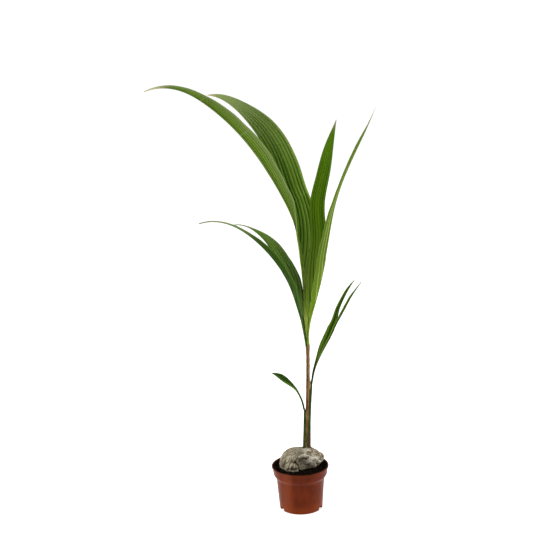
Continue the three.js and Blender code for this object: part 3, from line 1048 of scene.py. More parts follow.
@dataclass(frozen=True)
class Lobe:
    """One lobe of a forked leaf, with its values at even stations."""

    length: float
    lean: Series
    heading: Series
    width: Series
    fold: Series


@dataclass(frozen=True)
class Row:
    """A row across half a leaf.

    Fields are its place on the rib or inner edge, its directions across and facing, its width, the
    share of the ribs that have left the midrib there, and its share of the leaf's length.
    """

    place: Array
    across: Array
    facing: Array
    width: float
    opened: float
    run: float


@dataclass(frozen=True)
class StemSizes:
    """The stem's axis and its oval, at even stations."""

    foot: Triple = (0.0235, 0.012, 0.185)
    length: float = 0.367
    lean: Series = (4, 2.6, 0.5)
    heading: Series = (-42, -42, -42)
    half_width: Series = (0.0075, 0.0066, 0.0062, 0.0053)
    half_depth: Series = (0.0085, 0.0075, 0.0074, 0.0094)

    STEPS = 12

    def middle(self, share: float) -> Array:
        """Place on the stem's axis."""
        return walk(self.foot, self.length, self.lean, self.heading, (share,), self.STEPS)[0].place

    def point(self, share: float, angle: float, spare: float = 0.0) -> Array:
        """Point on the stem's oval, or a spare distance outside it.

        Args:
            share: how far up the stem.
            angle: the angle round it, in radians.
            spare: the distance outside it.

        Returns:
            The point.
        """
        across = (along(self.half_width, share) + spare) * math.cos(angle)
        deep = (along(self.half_depth, share) + spare) * math.sin(angle)
        return self.middle(share) + np.array((across, deep, 0.0))


@dataclass(frozen=True)
class Sheath:
    """The foot of a low leaf, wrapped round one side of the stem."""

    side: float
    top: float
    half_angle: Series
    thickness: Series


@dataclass
class Leaf:
    """A pleated leaf: a stalk that runs on as the midrib, and a blade that may fork into two lobes."""

    number: int
    foot: Triple
    front: int
    midrib: float
    lean: Series
    heading: Series
    width: Series
    front_fold: Series
    back_fold: Series
    blade_start: float
    slot: str
    upper: LeafFinish
    lower: LeafFinish
    stalk: StalkFinish
    pleats: Mapping[Side, int]
    front_lobe: Optional[Lobe] = None
    back_lobe: Optional[Lobe] = None
    sheath: Optional[Sheath] = None
    tips: tuple[str, ...] = ()
    stem: StemSizes = StemSizes()
    thickness: float = 0.0005
    stalk_depth: Series = (0.003, 0.0022, 0.0012, 0.0006)
    plump: float = 1.0
    rib_end: float = 0.0005
    tip_roll: float = 0.0
    rolled_from: float = 0.75

    MIDRIB_ROWS = 70
    LOBE_ROWS = 90
    STALK_ROWS = 80
    SHEATH_ROWS = 30
    JOIN_ROWS = 8
    COLUMNS = 4
    DEPTH = 0.42
    TALLEST_PLEAT = 0.004
    FLAT_PLEAT = (0.0016, 0.0042)
    CURL = 0.035
    RIPPLE = 0.011
    WAVES = (37, 83)
    RIB = 0.00036
    FINEST_RIB = 0.00002
    RIB_START = 6
    ROUND = 0.3
    SKIN = 0.0004
    STALK_POINTS = 11
    TUCK = 0.03
    SUNK = 0.012
    SUNK_SIZE = 0.3

    def frames(self, stop: Stop, folds: Mapping[Side, float]) -> dict[Side, tuple[Array, Array]]:
        """Directions of each half at a stop.

        Args:
            stop: the stop.
            folds: each half's fold up from flat, in degrees.

        Returns:
            The directions across and facing of each half.
        """
        made = {}
        for side, fold in folds.items():
            turn = math.radians(fold)
            flat = stop.side * self.front * side.value
            across = math.cos(turn) * flat + math.sin(turn) * stop.upper
            made[side] = (across, math.cos(turn) * stop.upper - math.sin(turn) * flat)
        return made

    def folds(self, share: float) -> dict[Side, float]:
        """Fold of each half at a share of the midrib."""
        return {Side.FRONT: along(self.front_fold, share), Side.BACK: along(self.back_fold, share)}

    def lobe(self, side: Side) -> Optional[Lobe]:
        """The lobe on one side, if the leaf is forked."""
        return self.front_lobe if side is Side.FRONT else self.back_lobe

    def rows(self, side: Side) -> tuple[list[Row], int]:
        """Rows across one half of the blade, from its base to its tip.

        Args:
            side: the half.

        Returns:
            The rows, and how many of them are on the midrib.
        """
        first = self.blade_start - self.TUCK
        lobe = self.lobe(side)
        blade = (1 - first) * self.midrib
        whole = blade + (lobe.length if lobe else 0.0)
        path = (self.foot, self.midrib, self.lean, self.heading)
        made = []
        for stop in walk(*path, np.linspace(first, 1, self.MIDRIB_ROWS)):
            across, facing = self.frames(stop, self.folds(stop.share))[side]
            opened = (stop.share - first) / (1 - first)
            width = along(self.width, stop.share)
            made.append(Row(stop.place, across, facing, width, opened, opened * blade / whole))
        count = len(made)
        if lobe:
            fork = made[-1].place
            leans = (self.lean[-1], *lobe.lean)
            headings = (self.heading[-1], *lobe.heading)
            widths = (self.width[-1], *lobe.width)
            bends = (self.folds(1.0)[side], *lobe.fold)
            shares = np.linspace(0, 1, self.LOBE_ROWS + 1)[1:]
            for stop in walk(fork, lobe.length, leans, headings, shares):
                across, facing = self.frames(stop, {side: along(bends, stop.share)})[side]
                run = (blade + stop.share * lobe.length) / whole
                made.append(Row(stop.place, across, facing, along(widths, stop.share), 1.0, run))
        return made, count

    def blade(self) -> tuple[Shape, Ribs]:
        """The blade as a sheet.

        Returns:
            The sheet, and its ribs: each one's column and the numbers of its points.
        """
        sides = {side: self.rows(side) for side in Side}
        sheet = Shape()
        keel = []
        shared = sides[Side.FRONT][1]
        for i in range(shared):
            front, back = (sides[side][0][i] for side in Side)
            facing = unit(front.facing + back.facing)
            # Longer where the halves stand at an angle, so that both keep their thickness at the fold.
            facing = facing / max(0.5, float(np.dot(facing, front.facing)))
            values = {"facing": facing, "rib": 0.0, "pleat": 0.0, "along": front.run, "across": 0.0}
            keel.append(sheet.add(front.place, **values))
        ribs = []
        for side, (rows, _) in sides.items():
            pleats = self.pleats[side]
            columns = self.COLUMNS * pleats
            grid = [[self.corner(sheet, row, side, j, keel[i] if i < shared else -1)
                     for j in range(columns + 1)] for i, row in enumerate(rows)]
            for low, high in zip(grid, grid[1:]):
                for j in range(columns):
                    ring = (low[j], low[j + 1], high[j + 1], high[j])
                    sheet.face(*(ring if side is Side.FRONT else reversed(ring)))
            for j in range(2, columns, 2):
                ribs.append((j, [row[j] for row in grid if sheet.values["across"][row[j]] != 0.0]))
        return sheet, ribs

    def corner(self, sheet: Shape, row: Row, side: Side, column: int, keel: int) -> int:
        """Adds a point of the sheet, or finds it on the midrib.

        Args:
            sheet: the sheet.
            row: the row that the point is on.
            side: the half that it is on.
            column: its column, from the outer edge.
            keel: the point on the midrib in this row, or -1 beyond the fork.

        Returns:
            The point's number.
        """
        pleats = self.pleats[side]
        label = column / (self.COLUMNS * pleats)
        u = max(0.0, 1 - label / max(row.opened, 1e-6))
        if u == 0.0 and keel >= 0:
            return keel
        # The half curls down to its edge and ripples, and its base is drawn in a little.
        slow, quick = (row.run * waves for waves in self.WAVES)
        wave = math.sin(slow + self.number * 2 + side.value) + 0.6 * math.sin(quick + self.number)
        grown = float(smooth(0.0, 0.2, row.run))
        sink = (self.CURL * u * u + self.RIPPLE * u * wave) * row.width * grown
        reach = u * row.width * (0.92 + 0.08 * float(smooth(0.0, 0.06, row.run)))
        point = row.place + row.across * reach - row.facing * sink
        half = row.width / max(1.0, row.opened * pleats) / 2
        fade = smooth(0.0, 0.12, u) * smooth(0.0, 0.04, 1 - u)
        pleat = min(half, self.TALLEST_PLEAT) * fade * float(smooth(*self.FLAT_PLEAT, half))
        return sheet.add(point, facing=row.facing, rib=label * pleats, pleat=pleat, along=row.run,
                         across=u * side.value)

    def gutter(self, stop: Stop, width: float, depth: float) -> list[Array]:
        """Closed section of the stalk: a rounded channel, thickest under its middle.

        Args:
            stop: where it is.
            width: the width of each of its sides.
            depth: its depth under the middle.

        Returns:
            The section's points, along its upper face and back along its lower face.
        """
        frames = self.frames(stop, self.folds(stop.share))
        upper, lower = [], []
        for u in np.linspace(-1, 1, self.STALK_POINTS):
            full = 1 + math.hypot(1, self.ROUND)
            reach = {side: (u * side.value + math.hypot(u, self.ROUND)) / full for side in Side}
            middle = stop.place + width * sum(reach[side] * frames[side][0] for side in Side)
            lean = smooth(-0.6, 0.6, u)
            facing = unit(lean * frames[Side.FRONT][1] + (1 - lean) * frames[Side.BACK][1])
            skin = self.SKIN + 0.1 * depth
            upper.append(middle + skin * facing)
            lower.append(middle - (skin + depth * (1 - u * u)) * facing)
        return [*upper, *reversed(lower)]

    def wrap(self, share: float) -> list[Array]:
        """Closed section of the sheath, its upper face against the stem.

        Args:
            share: how far up the stem it is.

        Returns:
            The section's points, in the order of the stalk's.
        """
        grown = share / self.sheath.top
        reach = math.radians(along(self.sheath.half_angle, grown))
        full = along(self.sheath.thickness, grown)
        upper, lower = [], []
        for u in np.linspace(-1, 1, self.STALK_POINTS):
            angle = math.radians(self.sheath.side) + self.front * u * reach
            bulge = 0.1 + 0.9 * math.sqrt(1 - u * u)
            upper.append(self.stem.point(share, angle, -self.SKIN))
            lower.append(self.stem.point(share, angle, self.SKIN + full * bulge))
        return [*upper, *reversed(lower)]

    def stalk_shape(self) -> Shape:
        """Stalk from its foot, or its sheath on the stem, to the fork, where it ends as a fine rib.

        Returns:
            The stalk.
        """
        sections = []
        path = (self.foot, self.midrib, self.lean, self.heading)
        for stop in walk(*path, np.linspace(0, 1, self.STALK_ROWS)):
            narrow = smooth(0.0, 1.0, (stop.share - self.blade_start) / (1 - self.blade_start)) ** 0.45
            width = along(self.width, min(stop.share, self.blade_start))
            width *= self.plump + (1 - self.plump) * min(1.0, stop.share / self.blade_start)
            width += (self.rib_end - width) * float(narrow)
            sections.append(self.gutter(stop, width, along(self.stalk_depth, stop.share)))
        if self.sheath:
            wraps = [self.wrap(share) for share in np.linspace(0, self.sheath.top, self.SHEATH_ROWS)]
            low, high = wraps[-1], sections[0]
            for step in np.linspace(0, 1, self.JOIN_ROWS)[1:-1]:
                mix = float(smooth(0, 1, step))
                wraps.append([a + mix * (b - a) for a, b in zip(low, high)])
            sections = [*wraps, *sections]
        else:
            middle = self.stem.middle(1.0) - (0.0, 0.0, self.SUNK)
            sunk = [middle + self.SUNK_SIZE * (point - self.foot) for point in sections[0]]
            sections = [sunk, *sections]
        shape = Shape()
        shape.loft([[shape.add(point) for point in section] for section in sections])
        return shape

    def rib_lines(self, sheet: Shape, ribs: Ribs, over: int) -> Lines:
        """Lines of the fine ribs on the crests of the pleats.

        Args:
            sheet: the blade's sheet.
            ribs: each rib's column and the numbers of its points.
            over: 1 for the ribs over the sheet, -1 for those under it.

        Returns:
            The points of each, with its radius there.
        """
        lines = []
        for column, numbers in ribs:
            if over != (1 if column % self.COLUMNS else -1):
                continue
            line = []
            for place, i in enumerate(numbers):
                taper = (0.12 + 0.88 * (1 - place / len(numbers))) * min(1.0, place / self.RIB_START)
                taper *= float(smooth(0.0, 0.7 * self.TALLEST_PLEAT, sheet.values["pleat"][i]))
                radius = self.RIB * taper + self.FINEST_RIB
                lift = over * (sheet.values["pleat"][i] * self.DEPTH + self.thickness / 2 + 0.4 * radius)
                line.append((sheet.points[i] + lift * sheet.values["facing"][i], radius))
            lines.append(line)
        return lines

    def build(self) -> None:
        """Builds and dresses the leaf's stalk, blade and ribs."""
        name = f"leaf_{self.number}"
        stalk = self.stalk_shape().piece(f"{name}_stalk", self.stalk)
        settle(stalk, "leaf_stalk", f"{name}_petiole")
        sheet, ribs = self.blade()
        runs = sheet.values["along"]
        rolls = [self.tip_roll * float(smooth(self.rolled_from, 1.0, run)) for run in runs]
        depths = [self.thickness * (1.2 - 0.7 * run) + roll for run, roll in zip(runs, rolls)]
        blade = sheet.thicken(depths).piece(f"{name}_pleated_blade")
        PleatTree(self.upper, self.lower).apply(blade, Depth=self.DEPTH)
        lobes = ("front_lobe", "back_lobe") if self.front_lobe else ()
        settle(blade, self.slot, f"{name}_blade", *(f"{name}_{part}" for part in (*lobes, *self.tips)))
        crest = PlainFinish(f"{name}_crest", self.upper.furrow, self.upper.ridge, 0.5)
        settle(strand_piece(f"{name}_ribs", self.rib_lines(sheet, ribs, 1), crest), self.slot)
        furrow = self.lower.furrow
        groove = PlainFinish(f"{name}_groove", furrow, furrow, 0.5, shine=self.lower.shine)
        settle(strand_piece(f"{name}_under_ribs", self.rib_lines(sheet, ribs, -1), groove), self.slot)


@dataclass
class Stem:
    """The stem: dry leaf sheaths rolled round each other, torn at the top."""

    sizes: StemSizes = StemSizes()
    finish: StemFinish = StemFinish()
    columns: int = 56
    rows: int = 130
    top_share: float = 0.985
    lip: float = 0.0009
    lip_turns: float = 0.35
    lip_starts: Pair = (0.35, 0.85)
    fibre_relief: float = 0.00035
    loose_heights: Pair = (0.205, 0.215)
    torn: float = 0.011
    wall: float = 0.0012
    inside: float = 0.02
    ring_share: float = 0.128
    ring_reach: float = 0.012
    ring_rise: float = 0.0011
    flare: float = 0.0008
    margin_share: float = 0.64
    margin_reach: float = 0.085
    margin_angle: float = -28.0
    margin_radius: float = 0.0014
    margin_points: int = 15

    def skin(self, share: float, column: int, spare: float) -> Array:
        """Point on the rolled and fibrous skin.

        Args:
            share: how far up the stem.
            column: the column round it.
            spare: the distance outside the skin.

        Returns:
            The point.
        """
        turn = column / self.columns
        angle = 2 * math.pi * turn
        rolled = (turn + self.lip_turns * share + self.lip_starts[0]) % 1.0
        other = (turn - 0.5 * self.lip_turns * share + self.lip_starts[1]) % 1.0
        fibres = self.fibre_relief * rough((math.cos(angle), math.sin(angle), share * 2), 9.0, 3)
        ring = self.ring_rise * bell(share - self.ring_share, self.ring_reach)
        flare = self.flare * float(smooth(0.9, 1.0, share))
        relief = self.lip * (rolled - 0.5) + 0.5 * self.lip * (other - 0.5) + fibres + ring + flare
        return self.sizes.point(share, angle, relief + spare)

    def ring(self, shape: Shape, share: float, spare: float, rises: Series) -> list[int]:
        """Adds a ring of the skin, whose fibres run upright.

        Args:
            shape: the stem's shape.
            share: how far up the stem.
            spare: the distance outside the skin.
            rises: how far each column is raised above the ring.

        Returns:
            The numbers of its points.
        """
        made = []
        for column, rise in enumerate(rises):
            point = self.skin(share, column, spare) + (0.0, 0.0, rise)
            loose = float(smooth(*self.loose_heights, point[2]))
            made.append(shape.add(point, grain=(0.0, 0.0, 1.0), loose=loose))
        return made

    def torn_edge(self) -> Series:
        """Torn edge at the top.

        Returns:
            How far it stands up at each column.
        """
        made = []
        for column in range(self.columns):
            angle = 2 * math.pi * column / self.columns
            rise = self.torn * (0.55 + 0.9 * rough((math.cos(angle), math.sin(angle), 5.0), 1.6, 4))
            made.append(max(0.0, rise))
        return tuple(made)

    def build(self) -> None:
        """Builds and dresses the sheath and its loose fibres."""
        shape = Shape()
        level = (0.0,) * self.columns
        shares = np.linspace(0, self.top_share, self.rows)
        rings = [self.ring(shape, share, 0.0, level) for share in shares]
        torn = self.torn_edge()
        low = 1 - self.inside / self.sizes.length
        for share, spare, rises in ((1.0, 0.0, torn), (1.0, -self.wall, torn), (low, -self.wall, level)):
            rings.append(self.ring(shape, share, spare, rises))
        shape.loft(rings)
        piece = shape.piece("stem_sheath", self.finish)
        settle(piece, "dry_sheath", "stem")
        fibres = link("stem_fibres", piece.data.copy())
        hair = PlainFinish("sheath_fibre", "5b3a22", "b39a70", roughness=0.8, patch=60.0)
        FibreTree(hair).apply(fibres, Density=22000.0, Length=0.024, Slenderness=0.012, Bow=0.03,
                              Sway=0.25, Seed=3)
        settle(fibres, "dry_sheath")
        self.build_margin()

    def build_margin(self) -> None:
        """Builds the dry pale margin that stands off the stem beside the upper sheath."""
        line = []
        for step in np.linspace(-1, 1, self.margin_points):
            share = self.margin_share + self.margin_reach * float(step)
            place = self.sizes.point(share, math.radians(self.margin_angle), self.margin_radius)
            line.append((place, self.margin_radius * (1.05 - abs(float(step)))))
        dry = PlainFinish("dry_margin", "94795a", "c4ad8c", roughness=0.8, patch=80.0)
        settle(strand_piece("sheath_margin", [line], dry, sides=6), "dry_sheath")


@dataclass(frozen=True)
class Lump:
    """A rounded lump: a ball stretched to semi-axes, tipped, turned in plan and placed."""

    centre: Triple
    semi_axes: Triple
    turn: float = 0.0
    tip: float = 0.0

    EASE = 0.03

    def rotation(self) -> Array:
        """The lump's turn and tip as a matrix."""
        turned = Matrix.Rotation(math.radians(self.turn), 3, "Z")
        return np.array(turned @ Matrix.Rotation(-math.radians(self.tip), 3, "Y"))

    def within(self, point: Array) -> Array:
        """Point in the lump's own frame, where the lump is a ball of radius one."""
        return self.rotation().T @ (point - np.asarray(self.centre)) / np.asarray(self.semi_axes)

    def reach(self, point: Array, outward: Array) -> float:
        """How far the lump's far surface lies outside a point, or 0 where the line misses it.

        Args:
            point: the point.
            outward: the direction that is looked in.

        Returns:
            The distance, eased off at the lump's edge.
        """
        q = self.within(point)
        v = self.rotation().T @ outward / np.asarray(self.semi_axes)
        a, b, c = v @ v, q @ v, q @ q - 1
        inside = b * b - a * c
        if inside <= 0:
            return 0.0
        far = (-b + math.sqrt(inside)) / a
        return max(0.0, far) * float(smooth(0.0, self.EASE, inside / a))


@dataclass(frozen=True)
class Swell:
    """A swell on the husk's back: its size, its place across, its reach and the heights it grows over."""

    size: float
    across: float
    reach: float
    heights: Pair

    def lift(self, point: Array) -> float:
        """How far the swell lifts a point."""
        return self.size * bell(point[0] - self.across, self.reach) * smooth(*self.heights, point[2])


@dataclass(frozen=True)
class Crease:
    """A crease in the husk's front: its points across and up, its depth, its half width and its painted
    shade.
    """

    points: tuple[Pair, ...]
    depth: float
    half_width: float
    shade: float = 0.6

    def share(self, place: Array) -> float:
        """How deep in the crease a place is.

        Args:
            place: the place.

        Returns:
            The share of the crease's depth.
        """
        gap = math.inf
        for (x, z), (to_x, to_z) in zip(self.points, self.points[1:]):
            run, rise = to_x - x, to_z - z
            way = ((place[0] - x) * run + (place[2] - z) * rise) / (run * run + rise * rise)
            way = min(1.0, max(0.0, way))
            gap = min(gap, math.hypot(place[0] - x - way * run, place[2] - z - way * rise))
        return bell(gap, self.half_width)


@dataclass(frozen=True)
class Patch:
    """A dark patch on the husk's front, mostly painted shade in a hollow: its place, its half sizes, its
    shade and its depth.
    """

    across: float
    up: float
    half_width: float
    half_height: float
    shade: float
    depth: float = 0.0

    def share(self, place: Array) -> float:
        """How far inside the patch a place is, from 0 to 1."""
        out = ((place[0] - self.across) / self.half_width, (place[2] - self.up) / self.half_height)
        return float(smooth(1.3, 0.3, math.hypot(*out)))


@dataclass(frozen=True)
class Shred:
    """A torn shred of husk: where it hangs, its half width and half height, its turn and its seed."""

    place: Triple
    half_width: float
    half_height: float
    turn: float
    seed: float


@dataclass(frozen=True)
class Strewn:
    """Small things of one kind: their name, seed, number or density, size and colours."""

    name: str
    seed: int
    number: int
    size: float
    dark: Colour
    light: Colour


@dataclass
class Coconut:
    """The husk on its side: a ridge with a hollow under it, a flap in front, a knob and torn shreds."""

    body: Lump = Lump((0.005, 0.014, 0.142), (0.075, 0.048, 0.0575), 16, -4)
    flap: Lump = Lump((-0.027, -0.025, 0.145), (0.030, 0.023, 0.029), -12)
    knob: Lump = Lump((0.067, 0.030, 0.160), (0.015, 0.014, 0.015))
    finish: HuskFinish = HuskFinish()
    fullness: float = 2.3
    ridge: float = 0.03
    ridges: int = 3
    rings: int = 170
    columns: int = 250
    pole_gap: float = 0.004
    hump_x: Pair = (0.014, -0.03)
    ledge_x: Series = (-0.016, -0.004, 0.004, 0.016, 0.030, 0.047, 0.058, 0.066, 0.085)
    ledge_z: Series = (0.172, 0.1825, 0.185, 0.1855, 0.1815, 0.1745, 0.163, 0.154, 0.150)
    lip_height: float = 0.0016
    lip_reach: float = 0.003
    hollow_x: Pair = (-0.016, -0.002)
    hollow_depth: float = 0.0042
    undercut_depth: float = 0.011
    undercut_below: Pair = (0.012, 0.034)
    undercut_x: Pair = (0.0, 0.03)
    undercut_end_x: Pair = (0.050, 0.060)
    shoulder: Swell = Swell(0.0045, -0.035, 0.026, (0.15, 0.185))
    crown: Swell = Swell(0.0065, 0.029, 0.012, (0.172, 0.19))
    fibre_height: float = 0.0008
    swell_height: float = 0.0016
    groove_depth: float = 0.0014
    worn_spots: tuple[tuple[Triple, float], ...] = (
        ((0.022, 0.000, 0.200), 0.015),
        ((0.050, -0.013, 0.168), 0.014),
    )
    fibres: tuple[Strewn, ...] = (
        Strewn("husk_fibres", 11, 420, 0.00034, "6b604b", "958a72"),
        Strewn("husk_dark_fibres", 12, 240, 0.00034, "3a2f21", "5d5140"),
        Strewn("husk_pale_fibres", 13, 110, 0.0003, "968c77", "b3ab98"),
    )
    strand_step: float = 0.0034
    tuft_x: Pair = (0.033, 0.064)
    tuft_y: float = -0.03
    tuft_seed: int = 31
    tuft_strands: int = 150
    tuft_radius: float = 0.0008
    tuft_step: float = 0.0022
    shred_steps: int = 20
    shred_thickness: float = 0.0011
    peat_level: float = 0.139
    lying: Triple = (0.93, 0.20, -0.31)
    steep: Triple = (-0.42, -0.25, -0.87)
    stretch: float = 0.92
    creases: tuple[Crease, ...] = (
        Crease(((-0.051, 0.149), (-0.0515, 0.158), (-0.046, 0.1655), (-0.032, 0.1705), (-0.018, 0.1695)),
               0.0032, 0.0016, 0.75),
        Crease(((-0.020, 0.1695), (-0.009, 0.1615), (-0.0045, 0.150), (-0.003, 0.138)),
               0.005, 0.0023, 1.1),
        Crease(((-0.008, 0.1825), (-0.0135, 0.177), (-0.017, 0.1695)), 0.0034, 0.0024, 0.9),
        Crease(((-0.032, 0.1765), (-0.022, 0.1745), (-0.015, 0.171)), 0.0018, 0.0014),
        Crease(((-0.056, 0.140), (-0.0557, 0.156), (-0.0497, 0.1695), (-0.0434, 0.179)), 0.0024, 0.0015),
        Crease(((-0.0614, 0.140), (-0.0618, 0.157), (-0.0555, 0.1705)), 0.0013, 0.0012),
        Crease(((-0.0366, 0.182), (-0.0277, 0.190), (-0.0139, 0.196)), 0.001, 0.0013),
    )
    # The first and the last patch are painted shade, in the flap's hollow and in the recess under the
    # ridge; the middle one is darker mottling.
    patches: tuple[Patch, ...] = (
        Patch(-0.025, 0.1495, 0.020, 0.006, 0.8, 0.002),
        Patch(0.001, 0.1925, 0.015, 0.007, 0.4),
        Patch(0.008, 0.169, 0.018, 0.011, 0.3),
    )
    shreds: tuple[Shred, ...] = (
        Shred((0.0440, -0.0170, 0.1640), 0.0040, 0.0050, 0.9, 1.7),
        Shred((0.0570, -0.0085, 0.1625), 0.0040, 0.0050, -0.6, 4.2),
        Shred((0.0690, 0.0056, 0.1620), 0.0040, 0.0045, 0.4, 3.8),
    )

    def left(self, place: Array) -> float:
        """One on the hump, where the fibres run steeply, and nothing where they lie along the ridge."""
        return float(smooth(*self.hump_x, place[0]))

    def flow(self, place: Array) -> Array:
        """Direction of the fibres at a place."""
        left = self.left(place)
        return unit(left * np.asarray(self.steep) + (1 - left) * np.asarray(self.lying))

    def drawn(self, place: Array, direction: Triple) -> Array:
        """Place drawn together along a direction."""
        axis = unit(np.asarray(direction))
        return place - self.stretch * (place @ axis) * axis

    def lay(self, place: Array) -> Array:
        """Place drawn together along the fibres, so that noise there comes out stretched along them."""
        left = self.left(place)
        return left * self.drawn(place, self.steep) + (1 - left) * self.drawn(place, self.lying)

    def hollow(self, place: Array, outward: Array, stands: float) -> Triple:
        """The hollow under the ridge, which is cut under more deeply near the soil and the right end.

        Args:
            place: the place on the smooth husk.
            outward: the direction outwards there.
            stands: how far a flap or knob stands out there.

        Returns:
            The height in metres, the painted shade in the hollow and just under the ridge, and the share of
            the ridge's lip that gets a painted highlight, both from 0 to 1.
        """
        below = float(np.interp(place[0], self.ledge_x, self.ledge_z)) - place[2]
        faces = max(smooth(0.3, -0.1, outward[1]), smooth(0.5, 0.8, outward[0]))
        reach = faces * smooth(*self.hollow_x, place[0]) * smooth(0.003, 0.0005, stands)
        low = smooth(*self.undercut_below, below) * smooth(*self.undercut_x, place[0])
        deep = max(low, smooth(*self.undercut_end_x, place[0]))
        depth = self.hollow_depth + (self.undercut_depth - self.hollow_depth) * deep
        # The hollow gets painted shade inside, and a painted shadow line just under the ridge.
        inside = reach * smooth(0.0, 0.006, below)
        lip = reach * bell(below + self.lip_reach, self.lip_reach)
        line = reach * smooth(0.0, 0.003, below) * smooth(0.016, 0.004, below)
        return self.lip_height * lip - depth * inside, 0.3 * inside + 0.42 * line, float(lip)

    def relief(self, place: Array, outward: Array, stands: float) -> Triple:
        """Height of the husk's folds and fibres, its painted shade, and its wear and painted highlight.

        Args:
            place: the place on the smooth husk.
            outward: the direction outwards there.
            stands: how far a flap or knob stands out there.

        Returns:
            The height in metres, and the painted shade and the wear with painted highlight, from 0 to 1.
        """
        lay = self.lay(place)
        fibres = rough(lay, 230.0, 2)
        swells = rough(place, 30.0, 2)
        grooves = 1 - abs(rough(lay + (0.31, 0.0, 0.0), 60.0, 2))
        groove = smooth(0.86, 1.0, grooves) * (0.3 + 0.7 * self.left(place))
        sunk, shade, lip = self.hollow(place, outward, stands)
        height = self.fibre_height * fibres + self.swell_height * swells
        height = height - self.groove_depth * groove + sunk
        # Painted shade in the grooves, between the fibres and in the hollow.
        fold = 0.5 * groove + 0.3 * smooth(-0.05, -0.6, fibres) + shade
        front = float(smooth(0.4, 0.0, outward[1]))
        if front > 0:
            uneven = float(smooth(-0.5, 0.3, rough(place + (0.0, 0.0, 0.7), 120.0, 2)))
            # Creases sink the skin and paint shade into it.
            for mark in self.creases:
                share = front * mark.share(place + 0.0012 * np.array((fibres, 0.0, swells)))
                height -= mark.depth * share
                fold += mark.shade * (0.5 + 0.5 * uneven) * share
            # Patches sink the skin and darken it: painted shade in hollows, and one patch of darker
            # mottling.
            for patch in self.patches:
                share = front * patch.share(place)
                height -= patch.depth * share
                fold += patch.shade * share
        # Bleaching at the wear spots, and a painted highlight along the ridge's lip.
        wear = [math.exp(-float(((place - spot) ** 2).sum()) / size ** 2)
                for spot, size in self.worn_spots]
        return float(height), float(min(1.0, fold)), max(*wear, 0.6 * lip)

    def skin(self, ball: Array) -> tuple[Array, Array, float]:
        """Point of the husk without its fibres, for a point of the unit ball.

        Args:
            ball: the point of the ball, with its poles at the husk's ends.

        Returns:
            The point, the direction outwards there, and how far a flap or knob stands out.
        """
        axes = np.asarray(self.body.semi_axes)
        turn = self.body.rotation()
        round_ = math.atan2(ball[2], ball[1])
        swell = 1 + self.ridge * math.cos(self.ridges * round_ + ball[0]) * math.hypot(ball[1], ball[2])
        swell *= float((np.abs(ball) ** self.fullness).sum()) ** (-1 / self.fullness)
        outward = turn @ unit(ball / axes)
        point = np.asarray(self.body.centre) + turn @ (ball * axes * swell)
        lift = self.shoulder.lift(point) + self.crown.lift(point)
        point = point + float(lift) * outward
        stands = max(lump.reach(point, outward) for lump in (self.flap, self.knob))
        return point + stands * outward, outward, stands

    def place_point(self, shape: Shape, pole: float, around: float) -> int:
        """Adds a point of the husk's skin with its fibres and values.

        Args:
            shape: the husk's shape.
            pole: the angle from one end of the husk.
            around: the angle round its length.

        Returns:
            The point's number.
        """
        wide = math.sin(pole)
        ball = np.array((math.cos(pole), wide * math.cos(around), wide * math.sin(around)))
        point, outward, stands = self.skin(ball)
        height, fold, worn = self.relief(point, outward, stands)
        lay = self.lay(point)
        return shape.add(point + height * outward, lay=lay, fold=fold, worn=worn, stands=stands)

    def build(self) -> None:
        """Builds and dresses the husk, the strands on it and its torn shreds."""
        shape = Shape()
        grid = []
        for i in range(self.rings + 1):
            pole = math.pi * (self.pole_gap + (1 - 2 * self.pole_gap) * i / self.rings)
            turns = (2 * math.pi * k / self.columns for k in range(self.columns))
            grid.append([self.place_point(shape, pole, around) for around in turns])
        shape.loft(grid)
        self.shade_fold_edges(shape, grid)
        piece = shape.piece("coconut_husk", self.finish)
        settle(piece, "husk", "coconut")
        tree = BVHTree.FromPolygons([Vector(point) for point in shape.points], shape.faces)
        for kind in self.fibres:
            finish = PlainFinish(kind.name + "_finish", kind.dark, kind.light, roughness=0.85, patch=60.0)
            settle(strand_piece(kind.name, self.strands(shape, tree, kind), finish), "husk")
        coir = PlainFinish("husk_tuft_finish", "aea692", "e6e0d3", roughness=0.85, patch=120.0)
        settle(strand_piece("husk_tuft", self.tuft(tree), coir), "husk")
        for number, shred in enumerate(self.shreds, 1):
            sheet = self.shred_sheet(shape, shred)
            flake = sheet.thicken([self.shred_thickness] * len(sheet.points))
            settle(flake.piece(f"husk_shred_{number}", self.finish), "husk")

    def shade_fold_edges(self, shape: Shape, grid: Sequence[Sequence[int]]) -> None:
        """Paints shade into the crease round the flap and the knob, where the skin steps out.

        Args:
            shape: the husk's shape.
            grid: the numbers of its points, ring by ring.
        """
        table = np.array([[shape.values["stands"][i] for i in ring] for ring in grid])
        lengthwise = np.abs(np.diff(table, axis=0, append=table[-1:]))
        step = lengthwise + np.abs(table - np.roll(table, -1, axis=1))
        for ring, row, out in zip(grid, step, table):
            for i, jump, stands in zip(ring, row, out):
                crease = float(smooth(0.0009, 0.003, jump)) * float(smooth(0.016, 0.002, stands))
                shape.values["fold"][i] = max(shape.values["fold"][i], 0.9 * crease)

    def strands(self, shape: Shape, tree: BVHTree, kind: Strewn) -> Lines:
        """Fibres that lie on the husk and follow its flow.

        Args:
            shape: the husk's shape.
            tree: the same shape, for finding the nearest point on it.
            kind: the fibres' kind, whose size is their radius in the middle.

        Returns:
            The points of each, with its radius there.
        """
        dice = random.Random(kind.seed)
        radius = kind.size
        lines = []
        while len(lines) < kind.number:
            ring = int(self.rings * math.acos(1 - 2 * dice.random()) / math.pi)
            place = shape.points[ring * self.columns + dice.randrange(self.columns)]
            steps = dice.randint(5, 11)
            sway = dice.uniform(-0.35, 0.35)
            loose = dice.uniform(0.0, 1.2)
